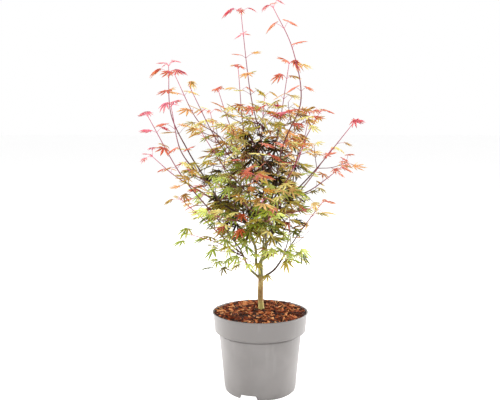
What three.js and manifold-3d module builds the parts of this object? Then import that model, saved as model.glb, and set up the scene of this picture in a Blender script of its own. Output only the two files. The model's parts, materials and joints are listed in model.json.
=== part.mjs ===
// A young feathery-leaved maple in a grey nursery pot, in millimetres, +Z up.
// The origin is the centre of the pot's flat underside and the front faces -Y.
// Every limb and leafy shoot grows from named sizes by the functions below.
import * as THREE from 'three';
import { mergeVertices } from 'three/addons/utils/BufferGeometryUtils.js';
import Module from 'manifold-3d';

const wasm = await Module();
wasm.setup();

// Pot: rim diameter 192, height 164.
const POT = {
  height: 164,
  rimRadius: 96,
  rimHeight: 3,
  bandTopRadius: 94.2,
  bandFootRadius: 91.2,
  bandFootZ: 125.2,
  shoulderRadius: 87,
  shoulderZ: 123.6,
  bodyTopRadius: 82.6,
  bodyTopZ: 121.8,
  bodyFootRadius: 72.1,
  bodyFootZ: 13,
  footRingOuter: 65.4,
  footRingInner: 62.6,
  hubRadius: 44,
  drainHeight: 12,
  wall: 2,
  segments: 40,
};
const DRAIN_HOLES = { count: 6, radius: 5, ring: 54, depth: 12, sides: 10 };
const FOOT_NOTCHES = { count: 3, width: 33, height: 10.5, slant: 3.5, angle: -110.7, depth: 22 };

// Bark mulch that fills the pot, mounded round the trunk.
const MULCH = {
  edgeZ: 160.4,
  crownZ: 166.7,
  seatRadius: 9,
  smoothRadius: 12,
  lump: 2,
  rings: 5,
  segments: 28,
  seed: 11,
};

// Free space kept between any two pieces.
const CLEARANCE = 0.32;

// Trunk: flat cut at the soil, flared foot, slight sweep, fork at the top.
const TRUNK = {
  path: [[2.6, 0, 167], [0.2, 0, 196], [1, 0, 226], [0, 0, 262]],
  radii: [4.6, 5.6, 4.7, 4.1],
  sides: 14,
  rings: 12,
  footRings: 1.35,
  flare: 1.8,
  flareHeight: 6,
  rootRidges: 4,
  ridgeShare: 0.12,
};

// Boughs: the limb each grows on, how far below its tip, points passed, own tip, two radii.
const BOUGHS = {
  bough_left: ['trunk', 10, [[-11, -2, 298]], [-36, -15, 361], [3.0, 2.2]],
  bough_right: ['trunk', 0, [[8, 3, 280]], [12, 8, 299], [3.9, 3.4]],
  bough_back: ['trunk', 14, [[7, 25, 303]], [8, 40, 344], [2.1, 1.7]],
  bough_low_left: ['trunk', 34, [[-23, -14, 256]], [-39, -25, 294], [2.7, 1.8]],
  bough_low_right: ['trunk', 36, [[30, -6, 252]], [53, -12, 289], [2.5, 1.7]],
  bough_far_left: ['bough_left', 0, [[-76, -25, 387]], [-108, -33, 436], [2.1, 1.6]],
  bough_centre_left: ['bough_left', 9, [[-38, 12, 410]], [-40, 32, 455], [1.8, 1.4]],
  bough_right_high: ['bough_right', 0, [[33, 17, 332]], [63, 34, 399], [2.4, 1.7]],
  bough_front_right: ['bough_right', 7, [[11, -32, 348]], [22, -50, 401], [2.4, 1.8]],
  bough_front: ['bough_right', 14, [[-2, -26, 322]], [-10, -52, 352], [2.0, 1.5]],
  bough_front_high: ['bough_front', 0, [[-18, -66, 384]], [-24, -74, 418], [1.5, 1.3]],
  bough_centre: ['bough_back', 0, [[8, 42, 384]], [5, 38, 424], [1.7, 1.4]],
  bough_back_right: ['bough_back', 7, [[32, 66, 362]], [50, 92, 392], [1.6, 1.3]],
  bough_back_left: ['bough_back', 13, [[-20, 68, 355]], [-46, 94, 386], [1.6, 1.3]],
};
const BOUGH_SIDES = 6;
const BOUGH_RINGS = 5;

// Leafy shoots: the limb each grows on, how far below its tip, points passed, own tip,
// length of bare stem at its foot, tint.
const SHOOTS = {
  foliage_left_long: ['bough_low_left', 0, [[-86, -50, 362], [-149, -80, 445]],
    [-208, -98, 556], 70, 'rose'],
  foliage_left_low: ['bough_low_left', 8, [[-92, -36, 338]], [-152, -52, 396], 36, 'olive'],
  foliage_left_skirt: ['bough_low_left', 16, [[-80, -46, 310]], [-132, -66, 330], 34, 'green'],
  foliage_foot_left: ['bough_low_left', 23, [[-26, -48, 280]], [-34, -86, 286], 28, 'green'],
  foliage_right_low: ['bough_low_right', 0, [[83, -18, 335]], [120, -30, 388], 30, 'orange'],
  foliage_foot_right: ['bough_low_right', 9, [[54, -46, 290]], [50, -86, 294], 28, 'green'],
  foliage_right_skirt: ['bough_low_right', 17, [[58, 34, 310]], [62, 78, 350], 30, 'olive'],
  foliage_left_tall: ['bough_far_left', 0, [[-139, -38, 488], [-171, -43, 560]],
    [-174, -46, 650], 40, 'rose'],
  foliage_left_second: ['bough_far_left', 8, [[-150, -72, 490]], [-166, -92, 574], 36, 'rose'],
  foliage_left_mid: ['bough_far_left', 16, [[-112, -88, 440]], [-132, -140, 462], 34, 'olive'],
  foliage_left_back: ['bough_left', 18, [[-110, 26, 396], [-172, 56, 430]],
    [-222, 84, 468], 60, 'rose'],
  foliage_upper_left: ['bough_centre_left', 0, [[-85, 55, 513], [-128, 60, 545]],
    [-172, 66, 634], 36, 'orange'],
  foliage_inner_left: ['bough_centre_left', 8, [[-88, 8, 510]], [-138, -8, 612], 34, 'olive'],
  foliage_plume_left: ['bough_centre_left', 15, [[-50, 70, 500], [-68, 78, 550]],
    [-84, 80, 600], 34, 'orange'],
  foliage_plume: ['bough_centre', 7, [[-30, 40, 500]], [-44, 42, 646], 60, 'orange'],
  foliage_leader: ['bough_centre', 0, [[2, 2, 500], [-20, -4, 600]], [-38, -8, 752], 50, 'rose'],
  foliage_upper_right: ['bough_centre', 14, [[34, 34, 510]], [57, 40, 656], 60, 'orange'],
  foliage_back_high: ['bough_centre', 21, [[4, 92, 500]], [10, 128, 592], 50, 'olive'],
  foliage_right_upper: ['bough_right_high', 0, [[76, 42, 475]], [120, 54, 560], 40, 'orange'],
  foliage_right_long: ['bough_right_high', 8, [[112, 4, 452]], [178, -22, 540], 40, 'rose'],
  foliage_right_mid: ['bough_right_high', 16, [[98, -26, 412]], [152, -80, 462], 36, 'orange'],
  foliage_right_back: ['bough_right_high', 24, [[98, 66, 418]], [148, 98, 482], 36, 'olive'],
  foliage_right_tall: ['bough_front_right', 0, [[43, -72, 505], [74, -82, 585], [58, -78, 680]],
    [22, -70, 756], 50, 'rose'],
  foliage_front_high: ['bough_front_right', 9, [[52, -110, 448]], [76, -142, 506], 34, 'olive'],
  foliage_front_low: ['bough_front', 6, [[10, -104, 362]], [18, -160, 380], 34, 'green'],
  foliage_front_left: ['bough_front', 12, [[-58, -98, 366]], [-92, -150, 380], 34, 'green'],
  foliage_front_centre: ['bough_front', 20, [[-8, -84, 366]], [2, -132, 404], 24, 'olive'],
  foliage_front_right: ['bough_front_right', 18, [[52, -84, 376]], [96, -132, 392], 34, 'olive'],
  foliage_front_mid: ['bough_front_high', 0, [[-18, -112, 440]], [-8, -162, 452], 30, 'orange'],
  foliage_front_upper: ['bough_front_high', 8, [[-70, -76, 462]], [-112, -94, 530], 32, 'olive'],
  foliage_back_right_low: ['bough_back_right', 12, [[72, 128, 366]], [84, 164, 354], 30, 'green'],
  foliage_back_right_mid: ['bough_back_right', 6, [[48, 140, 432]], [52, 188, 452], 30, 'olive'],
  foliage_back_right_high: ['bough_back_right', 0, [[84, 118, 466]], [106, 140, 556], 36, 'orange'],
  foliage_back_left_low: ['bough_back_left', 12, [[-84, 128, 378]], [-122, 162, 378], 30, 'green'],
  foliage_back_left_mid: ['bough_back_left', 6, [[-46, 142, 428]], [-54, 188, 448], 30, 'olive'],
  foliage_back_left_high: ['bough_back_left', 0, [[-84, 120, 462]], [-104, 142, 556], 36, 'orange'],
};

// A child limb swings out of its carrier by this much before it turns to its own path.
const SWING = { beyondRadius: 7, along: 0.75, outward: 0.7 };

// Heart of the crown, narrower low down, where nodes stand closer, twigs branch and leaves are larger.
const HEART = { middle: [-6, -5, 426], radii: [80, 92, 134], taper: 0.25, fade: [0.7, 1.45] };

// Growth rule shared by all leafy shoots. Pairs of values run from open crown to heart.
const GROWTH = {
  seed: 4021,
  seedStep: 97,
  stemTipRadius: 1.0,
  stemSides: 4,
  stemPitch: 45,
  stemFoot: { least: 1.2, perLength: 1 / 240, mostOfCarrier: 0.95 },
  guidePoints: 24,
  nodeStep: [42, 33],
  nodeJitter: 8,
  topMargin: 26,
  twigCrowd: 0.22,
  reach: 96,
  borderOverlap: 22,
  twigLength: [46, 66],
  twigRadii: [0.85, 0.95],
  twigSpread: 52,
  twigRise: 0.3,
  petiole: [15, 22],
  petioleRise: 0.5,
  petioleLift: 0.25,
  forward: 0.6,
  leafLength: [26, 32],
  leafSpread: 0.22,
  tipLeafShare: 0.66,
  dropLow: [2, 6],
  dropHigh: [22, 44],
  roll: [30, 48],
  yaw: 36,
  finish: 0.08,
};

// How pieces are fused: roots sink past the axis, tip leaves sit back from the end,
// and the tests for contact start clear of the stem that carries the piece.
const JOINING = { sink: 0.25, seat: 1.8, clearWidths: 1.5, leafStart: 2.2, twigStart: 1.2 };

// Leaf: lobes by angle from the midrib and share of the blade's length.
const LEAF = {
  lobes: [[-88, 0.62], [-42, 0.9], [0, 1], [42, 0.9], [88, 0.62]],
  notchRadius: 0.3,
  heartWidth: 0.05,
  crownForward: 0.02,
  crownHeight: 0.11,
  droop: 0.26,
  petioleRadius: 0.42,
};

const PAINT = {
  pot: [0xa39d99, 0.55],
  mulch: [0x86502f, 0.95],
  bark: [0x8d7a4c, 0.8],
  rose: [0xcd5450, 0.6],
  orange: [0xd98a3c, 0.6],
  olive: [0x8a7a36, 0.6],
  green: [0x87a63c, 0.6],
};

const UP = new THREE.Vector3(0, 0, 1);
const vec = (xyz) => new THREE.Vector3(...xyz);
const radians = THREE.MathUtils.degToRad;
const { lerp, clamp } = THREE.MathUtils;

// Small seeded generator, so that every build grows the same plant.
function seeded(seed) {
  let state = seed >>> 0;
  return () => {
    state = (state + 0x6d2b79f5) >>> 0;
    let t = state;
    t = Math.imul(t ^ (t >>> 15), t | 1);
    t ^= t + Math.imul(t ^ (t >>> 7), t | 61);
    return ((t ^ (t >>> 14)) >>> 0) / 4294967296;
  };
}

const between = (random, [low, high]) => low + (high - low) * random();

// Closed triangle mesh to solid, and back to a flat-shaded geometry.
function solidOf(positions, indices) {
  const mesh = new wasm.Mesh({
    numProp: 3,
    vertProperties: new Float32Array(positions),
    triVerts: new Uint32Array(indices),
  });
  return new wasm.Manifold(mesh);
}

function solidFromGeometry(geometry) {
  const bare = geometry.clone();
  bare.deleteAttribute('normal');
  bare.deleteAttribute('uv');
  const merged = mergeVertices(bare, 1e-4);
  return solidOf(merged.attributes.position.array, merged.index.array);
}

function geometryOf(solid) {
  const mesh = solid.getMesh();
  const geometry = new THREE.BufferGeometry();
  geometry.setAttribute('position', new THREE.BufferAttribute(new Float32Array(mesh.vertProperties), 3));
  geometry.setIndex(new THREE.BufferAttribute(new Uint32Array(mesh.triVerts), 1));
  geometry.computeVertexNormals();
  return geometry;
}

// The one largest body of a cut solid; scraps are dropped.
function mainBody(solid) {
  return solid.decompose().sort((a, b) => b.volume() - a.volume())[0];
}

// Round-section limb through a list of points, one radius per point.
function tube(points, radii, sides, swell = () => 1) {
  const positions = [];
  const indices = [];
  const tangent = points.map((p, i) => {
    const next = points[Math.min(i + 1, points.length - 1)];
    return next.clone().sub(points[Math.max(i - 1, 0)]).normalize();
  });
  let side = new THREE.Vector3(1, 0, 0).cross(tangent[0]);
  side = side.lengthSq() < 0.05 ? new THREE.Vector3(0, 1, 0).cross(tangent[0]) : side;
  points.forEach((p, ring) => {
    side.addScaledVector(tangent[ring], -side.dot(tangent[ring])).normalize();
    const other = tangent[ring].clone().cross(side);
    for (let i = 0; i < sides; i++) {
      const angle = (2 * Math.PI * i) / sides;
      const r = radii[ring] * swell(ring, angle);
      const q = p.clone();
      q.addScaledVector(side, r * Math.cos(angle));
      q.addScaledVector(other, r * Math.sin(angle));
      positions.push(q.x, q.y, q.z);
    }
  });
  const last = (points.length - 1) * sides;
  for (let ring = 0; ring < points.length - 1; ring++) {
    for (let i = 0; i < sides; i++) {
      const a = ring * sides + i;
      const b = ring * sides + ((i + 1) % sides);
      indices.push(a, b, b + sides, a, b + sides, a + sides);
    }
  }
  for (let i = 1; i < sides - 1; i++) {
    indices.push(0, i + 1, i, last, last + i, last + i + 1);
  }
  return solidOf(positions, indices);
}

// Smooth path through points, with even samples and a tapering radius.
function pathThrough(points) {
  return new THREE.CatmullRomCurve3(points, false, 'catmullrom', 0.5);
}

function taperedTube(curve, [foot, tip], rings, sides, extra = 0) {
  const points = [];
  const radii = [];
  for (let i = 0; i <= rings; i++) {
    points.push(curve.getPointAt(i / rings));
    radii.push(lerp(foot, tip, i / rings) + extra);
  }
  if (extra > 0) {
    points[0].addScaledVector(curve.getTangentAt(0), -extra);
    points[rings].addScaledVector(curve.getTangentAt(1), extra);
  }
  return tube(points, radii, sides);
}

// Place and heading at a distance along a line of straight runs.
function alongLine(points, distance) {
  let rest = distance;
  let i = 1;
  while (i < points.length - 1 && rest > points[i].distanceTo(points[i - 1])) {
    rest -= points[i].distanceTo(points[i - 1]);
    i += 1;
  }
  const tangent = points[i].clone().sub(points[i - 1]).normalize();
  return { at: points[i - 1].clone().addScaledVector(tangent, rest), tangent };
}

// Box test that keeps the exact tests few.
function nearEachOther(a, b, margin) {
  return a.min.every((low, i) => low - margin < b.max[i] && b.min[i] - margin < a.max[i]);
}

function touches(solid, pieces) {
  const box = solid.boundingBox();
  return pieces.some((piece) => nearEachOther(box, piece.box, CLEARANCE)
    && solid.minGap(piece.solid, CLEARANCE * 2) < CLEARANCE);
}

function asPiece(solid) {
  return { solid, box: solid.boundingBox() };
}

// The limb that carries a child ends at a tip; the child leaves some way below it,
// and swings out from the limb before it turns towards its own next point.
function childPath(carrier, below, via, tip) {
  const length = carrier.curve.getLength();
  const u = 1 - below / length;
  const start = carrier.curve.getPointAt(u);
  const points = [start];
  if (below > 0) {
    const along = carrier.curve.getTangentAt(u);
    const out = vec(via[0]).sub(start);
    out.addScaledVector(along, -out.dot(along)).normalize();
    const swing = carrier.radii[0] + SWING.beyondRadius;
    const elbow = start.clone();
    elbow.addScaledVector(along, swing * SWING.along);
    elbow.addScaledVector(out, swing * SWING.outward);
    points.push(elbow);
  }
  points.push(...via.map(vec), vec(tip));
  return pathThrough(points);
}

// Pot shell: ring foot, raised drainage channel, straight body and a rolled band.
function potProfile() {
  const p = POT;
  const w = p.wall;
  const outer = [
    [0, 0],
    [p.hubRadius, 0],
    [p.hubRadius + 3, p.drainHeight],
    [p.footRingInner - 3, p.drainHeight],
    [p.footRingInner, 0],
    [p.footRingOuter, 0],
    [p.footRingOuter + 4, 3],
    [p.bodyFootRadius, p.bodyFootZ],
    [p.bodyTopRadius, p.bodyTopZ],
    [p.shoulderRadius, p.shoulderZ],
    [p.bandFootRadius, p.bandFootZ],
    [p.bandTopRadius, p.height - p.rimHeight - 1],
    [p.rimRadius, p.height - p.rimHeight],
    [p.rimRadius, p.height],
  ];
  const inner = [
    [p.bandTopRadius - 0.8, p.height],
    [p.bandTopRadius - w, p.height - 6],
    [p.bandFootRadius - w, p.bandFootZ + 1.5],
    [p.shoulderRadius - w, p.shoulderZ + 1.5],
    [p.bodyTopRadius - w, p.bodyTopZ + 1.5],
    [p.bodyFootRadius - w, p.bodyFootZ + 4],
    [p.footRingOuter, p.drainHeight + w],
    [p.hubRadius + 1, p.drainHeight + w],
    [p.hubRadius - w, w],
    [0, w],
  ];
  return [...outer, ...inner].map(([r, z]) => new THREE.Vector2(r, z));
}

function drainHole(index) {
  const d = DRAIN_HOLES;
  const angle = (2 * Math.PI * (index + 0.5)) / d.count;
  const hole = new THREE.CylinderGeometry(d.radius, d.radius, d.depth, d.sides);
  hole.rotateX(Math.PI / 2);
  hole.translate(d.ring * Math.cos(angle), d.ring * Math.sin(angle), POT.drainHeight + POT.wall / 2);
  return solidFromGeometry(hole);
}

function footNotch(index) {
  const n = FOOT_NOTCHES;
  const half = n.width / 2;
  const shape = new THREE.Shape([
    new THREE.Vector2(-half - n.slant, -2),
    new THREE.Vector2(half + n.slant, -2),
    new THREE.Vector2(half, n.height),
    new THREE.Vector2(-half, n.height),
  ]);
  const notch = new THREE.ExtrudeGeometry(shape, { depth: n.depth, bevelEnabled: false });
  notch.rotateX(Math.PI / 2).rotateZ(Math.PI / 2);
  notch.translate(POT.footRingInner - n.depth / 2, 0, 0);
  notch.rotateZ(radians(n.angle + (360 * index) / n.count));
  return solidFromGeometry(notch);
}

function buildPot() {
  const lathe = new THREE.LatheGeometry(potProfile(), POT.segments).rotateX(Math.PI / 2);
  let pot = solidFromGeometry(lathe);
  for (let i = 0; i < DRAIN_HOLES.count; i++) pot = pot.subtract(drainHole(i));
  for (let i = 0; i < FOOT_NOTCHES.count; i++) pot = pot.subtract(footNotch(i));
  return pot;
}

// Mulch: fills the shell a hair's breadth clear of it, with a lumpy mounded top.
function mulchProfile() {
  const p = POT;
  const inset = p.wall + CLEARANCE + 0.05;
  const floor = p.drainHeight + inset;
  const points = [
    [0, p.wall + CLEARANCE],
    [p.hubRadius - inset, p.wall + CLEARANCE],
    [p.hubRadius + 1 - CLEARANCE * 1.2, floor],
    [p.footRingOuter - CLEARANCE, floor],
    [p.bodyFootRadius - inset, p.bodyFootZ + 4.3],
    [p.bodyTopRadius - inset, p.bodyTopZ + 1.9],
    [p.shoulderRadius - inset, p.shoulderZ + 1.9],
    [p.bandFootRadius - inset, p.bandFootZ + 1.9],
    [p.bandTopRadius - inset - 0.5, MULCH.edgeZ],
  ];
  for (let i = 1; i <= MULCH.rings; i++) {
    const share = i / (MULCH.rings + 1);
    const r = lerp(p.bandTopRadius - inset, MULCH.seatRadius, share);
    points.push([r, lerp(MULCH.edgeZ, MULCH.crownZ - 0.6, Math.sin((share * Math.PI) / 2))]);
  }
  points.push([MULCH.seatRadius, MULCH.crownZ], [0, MULCH.crownZ]);
  return points.map(([r, z]) => new THREE.Vector2(r, z));
}

function buildMulch() {
  const lathe = new THREE.LatheGeometry(mulchProfile(), MULCH.segments).rotateX(Math.PI / 2);
  lathe.deleteAttribute('normal');
  lathe.deleteAttribute('uv');
  const merged = mergeVertices(lathe, 1e-4);
  const position = merged.attributes.position;
  const random = seeded(MULCH.seed);
  for (let i = 0; i < position.count; i++) {
    const r = Math.hypot(position.getX(i), position.getY(i));
    const lump = MULCH.lump * (random() * 2 - 1);
    const onMound = position.getZ(i) > MULCH.edgeZ + 0.5 && r > MULCH.smoothRadius;
    if (onMound) position.setZ(i, position.getZ(i) + lump);
  }
  return solidOf(position.array, merged.index.array);
}

// Trunk: sweeps through its path, with ridged roots where it flares at the soil.
function buildTrunk() {
  const t = TRUNK;
  const soil = t.path[0][2];
  const curve = pathThrough(t.path.map(vec));
  const points = [];
  const radii = [];
  for (let i = 0; i <= t.rings; i++) {
    const u = (i / t.rings) ** t.footRings;
    const at = curve.getPointAt(u);
    const span = u * (t.radii.length - 1);
    const k = Math.min(Math.floor(span), t.radii.length - 2);
    points.push(at);
    radii.push(lerp(t.radii[k], t.radii[k + 1], span - k) + t.flare * flareAt(at.z - soil));
  }
  const ridged = (ring, angle) => {
    const depth = t.ridgeShare * flareAt(points[ring].z - soil);
    return 1 + depth * Math.cos(t.rootRidges * angle);
  };
  const solid = tube(points, radii, t.sides, ridged).trimByPlane([0, 0, 1], soil);
  const cleared = tube(points, radii.map((r) => r + CLEARANCE), t.sides, ridged);
  return { curve, radii: [t.radii[0], t.radii.at(-1)], solid, cleared };
}

function flareAt(height) {
  return Math.exp(-height / TRUNK.flareHeight);
}

// A solid cut clear of the limbs that stand near it.
function cutClear(solid, others) {
  let rest = solid;
  for (const other of others) {
    const near = nearEachOther(rest.boundingBox(), other.cleared.boundingBox(), 0);
    if (near) rest = rest.subtract(other.cleared);
  }
  return mainBody(rest);
}

// Limbs in order, each cut clear of its carrier and of the limbs before it.
function buildLimbs() {
  const limbs = { trunk: buildTrunk() };
  for (const [name, [on, below, via, tip, radii]] of Object.entries(BOUGHS)) {
    const curve = childPath(limbs[on], below, via, tip);
    const whole = taperedTube(curve, radii, BOUGH_RINGS, BOUGH_SIDES);
    const solid = cutClear(whole, Object.values(limbs));
    const cleared = taperedTube(curve, radii, BOUGH_RINGS, BOUGH_SIDES, CLEARANCE * 1.15);
    limbs[name] = { curve, radii, solid, cleared };
  }
  return limbs;
}

// Stems of the leafy shoots, thinning from their limb's tip radius.
function buildStems(limbs) {
  const stems = {};
  const { stemFoot, stemTipRadius, stemSides, stemPitch, guidePoints } = GROWTH;
  for (const [name, [on, below, via, tip, bare, tint]] of Object.entries(SHOOTS)) {
    const curve = childPath(limbs[on], below, via, tip);
    const length = curve.getLength();
    const foot = Math.min(
      limbs[on].radii[1] * stemFoot.mostOfCarrier,
      stemFoot.least + length * stemFoot.perLength,
    );
    const radii = [foot, stemTipRadius];
    const rings = Math.max(3, Math.round(length / stemPitch));
    const whole = taperedTube(curve, radii, rings, stemSides);
    const solid = cutClear(whole, [...Object.values(limbs), ...Object.values(stems)]);
    const cleared = taperedTube(curve, radii, rings, stemSides, CLEARANCE * 1.45);
    const guide = curve.getSpacedPoints(guidePoints);
    const line = curve.getSpacedPoints(rings);
    stems[name] = { line, length, radii, guide, solid, cleared, bare, tint };
  }
  return stems;
}

function distanceToGuide(point, guide) {
  return Math.min(...guide.map((g) => g.distanceTo(point)));
}

// A shoot's own space: within reach of its stem and hardly nearer to any other stem.
function ownSpace(name, stems) {
  const others = Object.keys(stems).filter((key) => key !== name).map((key) => stems[key].guide);
  return (point) => {
    const own = distanceToGuide(point, stems[name].guide);
    const border = own - GROWTH.borderOverlap;
    return own < GROWTH.reach && others.every((guide) => distanceToGuide(point, guide) > border);
  };
}

// How crowded the crown is at a point: 1 in its heart, 0 at its outskirts.
function crowding(point) {
  const [x, y, z] = point.toArray().map((c, i) => (c - HEART.middle[i]) / HEART.radii[i]);
  const width = clamp(1 + HEART.taper * z, 0.5, 1.3);
  const away = Math.hypot(x / width, y / width, z);
  const [low, high] = HEART.fade;
  return clamp((high - away) / (high - low), 0, 1);
}

const blend = ([open, heart], crowd) => lerp(open, heart, crowd);

// Two directions square to a stem: level, and as near upward as it can be.
function acrossStem(tangent) {
  const level = new THREE.Vector3().crossVectors(tangent, UP);
  if (level.lengthSq() < 1e-3) level.set(1, 0, 0);
  level.normalize();
  return [level, new THREE.Vector3().crossVectors(level, tangent)];
}

// Outline of a blade: its heart, then lobe tips with a notch between each two.
function leafRim(place) {
  const drooping = (angle, reach) => {
    const a = radians(angle);
    return place(reach * Math.cos(a), reach * Math.sin(a), -LEAF.droop * reach * reach);
  };
  const rim = [place(0, -LEAF.heartWidth, 0)];
  LEAF.lobes.forEach(([angle, reach], i) => {
    rim.push(drooping(angle, reach));
    const next = LEAF.lobes[i + 1];
    if (next) rim.push(drooping((angle + next[0]) / 2, LEAF.notchRadius));
  });
  rim.push(place(0, LEAF.heartWidth, 0));
  return rim;
}

// Leaf: a petiole that swells into a drooping blade with pointed lobes.
function leafSolid(root, pose) {
  const { base, midrib, normal, length } = pose;
  const lateral = normal.clone().cross(midrib).normalize();
  const place = (x, y, z) => {
    const p = base.clone();
    p.addScaledVector(midrib, x * length);
    p.addScaledVector(lateral, y * length);
    p.addScaledVector(normal, z * length);
    return p;
  };
  const rim = leafRim(place);
  const crown = place(LEAF.crownForward, 0, LEAF.crownHeight);
  const along = base.clone().sub(root).normalize();
  const over = along.clone().cross(lateral).normalize();
  const corner = (y, z) => {
    const p = root.clone();
    p.addScaledVector(lateral, y * LEAF.petioleRadius);
    p.addScaledVector(over, z * LEAF.petioleRadius);
    return p;
  };
  const foot = [corner(-0.87, -0.5), corner(0.87, -0.5), corner(0, 1)];
  const right = 0;
  const left = rim.length - 1;
  const top = rim.length;
  const [a, b, c] = [top + 1, top + 2, top + 3];
  const indices = [];
  for (let i = 0; i < left; i++) indices.push(top, i, i + 1);
  for (let i = 1; i < left; i += 2) indices.push(i + 1, i, i - 1);
  for (let i = 2; i < left; i += 2) indices.push(Math.min(i + 2, left), i, right);
  indices.push(left, right, a, left, a, b, right, top, c, right, c, a);
  indices.push(top, left, b, top, b, c, a, c, b);
  const positions = [...rim, crown, ...foot].flatMap((p) => p.toArray());
  const tips = rim.filter((p, i) => i % 2 === 1 && i < left);
  return { solid: solidOf(positions, indices), tips };
}

// How a leaf is held: level in the open crown, hanging more in the heart.
function leafPose(random, at, out, size) {
  const crowd = crowding(at);
  const grown = size * (1 + GROWTH.leafSpread * crowd);
  const petiole = between(random, GROWTH.petiole) * grown;
  const length = between(random, GROWTH.leafLength) * grown;
  const low = blend(GROWTH.dropLow, crowd);
  const high = blend(GROWTH.dropHigh, crowd);
  const drop = radians(between(random, [low, high]));
  const roll = radians(blend(GROWTH.roll, crowd) * (random() - 0.5));
  const yaw = radians(GROWTH.yaw * (random() - 0.5));
  const flat = new THREE.Vector3(out.x, out.y, 0);
  if (flat.lengthSq() < 1e-4) flat.set(1, 0, 0);
  flat.normalize().applyAxisAngle(UP, yaw);
  const midrib = flat.clone().multiplyScalar(Math.cos(drop)).addScaledVector(UP, -Math.sin(drop));
  const normal = flat.clone().multiplyScalar(Math.sin(drop)).addScaledVector(UP, Math.cos(drop));
  normal.applyAxisAngle(midrib, roll);
  return { base: at.clone().addScaledVector(out, petiole), midrib, normal, length };
}

// One leaf on a stem or twig, kept only if it stays in its space and touches nothing.
function growLeaf(mass, random, at, out, carrierRadius, size) {
  const pose = leafPose(random, at, out, size);
  const clear = carrierRadius * JOINING.clearWidths + JOINING.leafStart;
  const probe = leafSolid(at.clone().addScaledVector(out, clear), pose);
  if (!probe.tips.every(mass.inSpace) || touches(probe.solid, mass.everything)) return;
  mass.everything.push(asPiece(probe.solid));
  mass.parts.push(leafSolid(at.clone().addScaledVector(out, -JOINING.sink), pose).solid);
}

// A pair of opposite leaves.
function growPair(mass, random, at, tangent, angle, carrierRadius, size) {
  const [level, upward] = acrossStem(tangent);
  for (const turn of [0, Math.PI]) {
    const out = level.clone().multiplyScalar(Math.cos(angle + turn));
    out.addScaledVector(upward, Math.sin(angle + turn));
    out.addScaledVector(tangent, GROWTH.forward).addScaledVector(UP, GROWTH.petioleLift).normalize();
    out.setZ(Math.min(out.z, GROWTH.petioleRise)).normalize();
    growLeaf(mass, random, at, out, carrierRadius, size);
  }
}

// A side twig with a pair of leaves near its end.
function growTwig(mass, random, at, tangent, out, stemRadius) {
  const length = between(random, GROWTH.twigLength);
  const spread = radians(GROWTH.twigSpread);
  const heading = tangent.clone().multiplyScalar(Math.cos(spread));
  heading.addScaledVector(out, Math.sin(spread)).normalize();
  const bend = heading.clone().addScaledVector(UP, GROWTH.twigRise).normalize();
  const joint = at.clone().addScaledVector(heading, length * 0.5);
  const tip = joint.clone().addScaledVector(bend, length * 0.5);
  const [foot, end] = GROWTH.twigRadii;
  const radii = [foot, (foot + end) / 2, end];
  const clear = stemRadius * JOINING.clearWidths + JOINING.twigStart;
  const probe = tube([at.clone().addScaledVector(heading, clear), joint, tip], radii, 3);
  if (!mass.inSpace(joint) || !mass.inSpace(tip) || touches(probe, mass.everything)) return;
  const sunk = at.clone().addScaledVector(heading, -JOINING.sink);
  const piece = asPiece(probe);
  const grownFrom = mass.parts.length;
  mass.everything.push(piece);
  mass.parts.push(tube([sunk, joint, tip], radii, 3));
  const seat = tip.clone().addScaledVector(bend, -JOINING.seat);
  growPair(mass, random, seat, bend, random() * Math.PI, end, 1);
  const leafless = mass.parts.length === grownFrom + 1;
  if (leafless) {
    mass.parts.pop();
    mass.everything.splice(mass.everything.indexOf(piece), 1);
  }
}

// The two side twigs of a node.
function growTwigs(mass, random, at, tangent, angle, stemRadius) {
  const [level, upward] = acrossStem(tangent);
  for (const turn of [0, Math.PI]) {
    const out = level.clone().multiplyScalar(Math.cos(angle + turn));
    out.addScaledVector(upward, Math.sin(angle + turn));
    growTwig(mass, random, at, tangent, out, stemRadius);
  }
}

// Leafy shoot: stem, twigs and leaf pairs in turn in the heart, pairs above and at the tip.
function growShoot(name, stems, everything, index) {
  const stem = stems[name];
  const random = seeded(GROWTH.seed + index * GROWTH.seedStep);
  const mass = { parts: [stem.solid], everything, inSpace: ownSpace(name, stems) };
  let angle = random() * Math.PI;
  let distance = stem.bare;
  let node = 0;
  while (distance < stem.length - GROWTH.topMargin) {
    const { at, tangent } = alongLine(stem.line, distance);
    const radius = lerp(stem.radii[0], stem.radii[1], distance / stem.length);
    const crowd = crowding(at);
    const branches = crowd > GROWTH.twigCrowd && node % 2 === 0;
    if (branches) growTwigs(mass, random, at, tangent, angle, radius);
    else growPair(mass, random, at, tangent, angle, radius, 1);
    angle += Math.PI / 2;
    distance += blend(GROWTH.nodeStep, crowd) + GROWTH.nodeJitter * (random() - 0.5);
    node += 1;
  }
  const tip = stem.line.at(-1);
  const heading = tip.clone().sub(stem.line.at(-2)).normalize();
  const seat = tip.clone().addScaledVector(heading, -JOINING.seat);
  growPair(mass, random, seat, heading, angle, stem.radii[1], GROWTH.tipLeafShare);
  return mainBody(wasm.Manifold.union(mass.parts).simplify(GROWTH.finish));
}

const plant = new THREE.Group();

function addPiece(name, solid, paint) {
  const [color, roughness] = PAINT[paint];
  const material = new THREE.MeshStandardMaterial({ color, roughness, metalness: 0 });
  const mesh = new THREE.Mesh(geometryOf(solid), material);
  mesh.name = name;
  plant.add(mesh);
}

addPiece('pot', buildPot(), 'pot');
addPiece('mulch', buildMulch(), 'mulch');
const limbs = buildLimbs();
for (const [name, limb] of Object.entries(limbs)) addPiece(name, limb.solid, 'bark');
const stems = buildStems(limbs);
const everything = [...Object.values(limbs), ...Object.values(stems)].map((limb) => asPiece(limb.solid));
Object.keys(stems).forEach((name, index) => {
  addPiece(name, growShoot(name, stems, everything, index), stems[name].tint);
});

export default plant;
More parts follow.
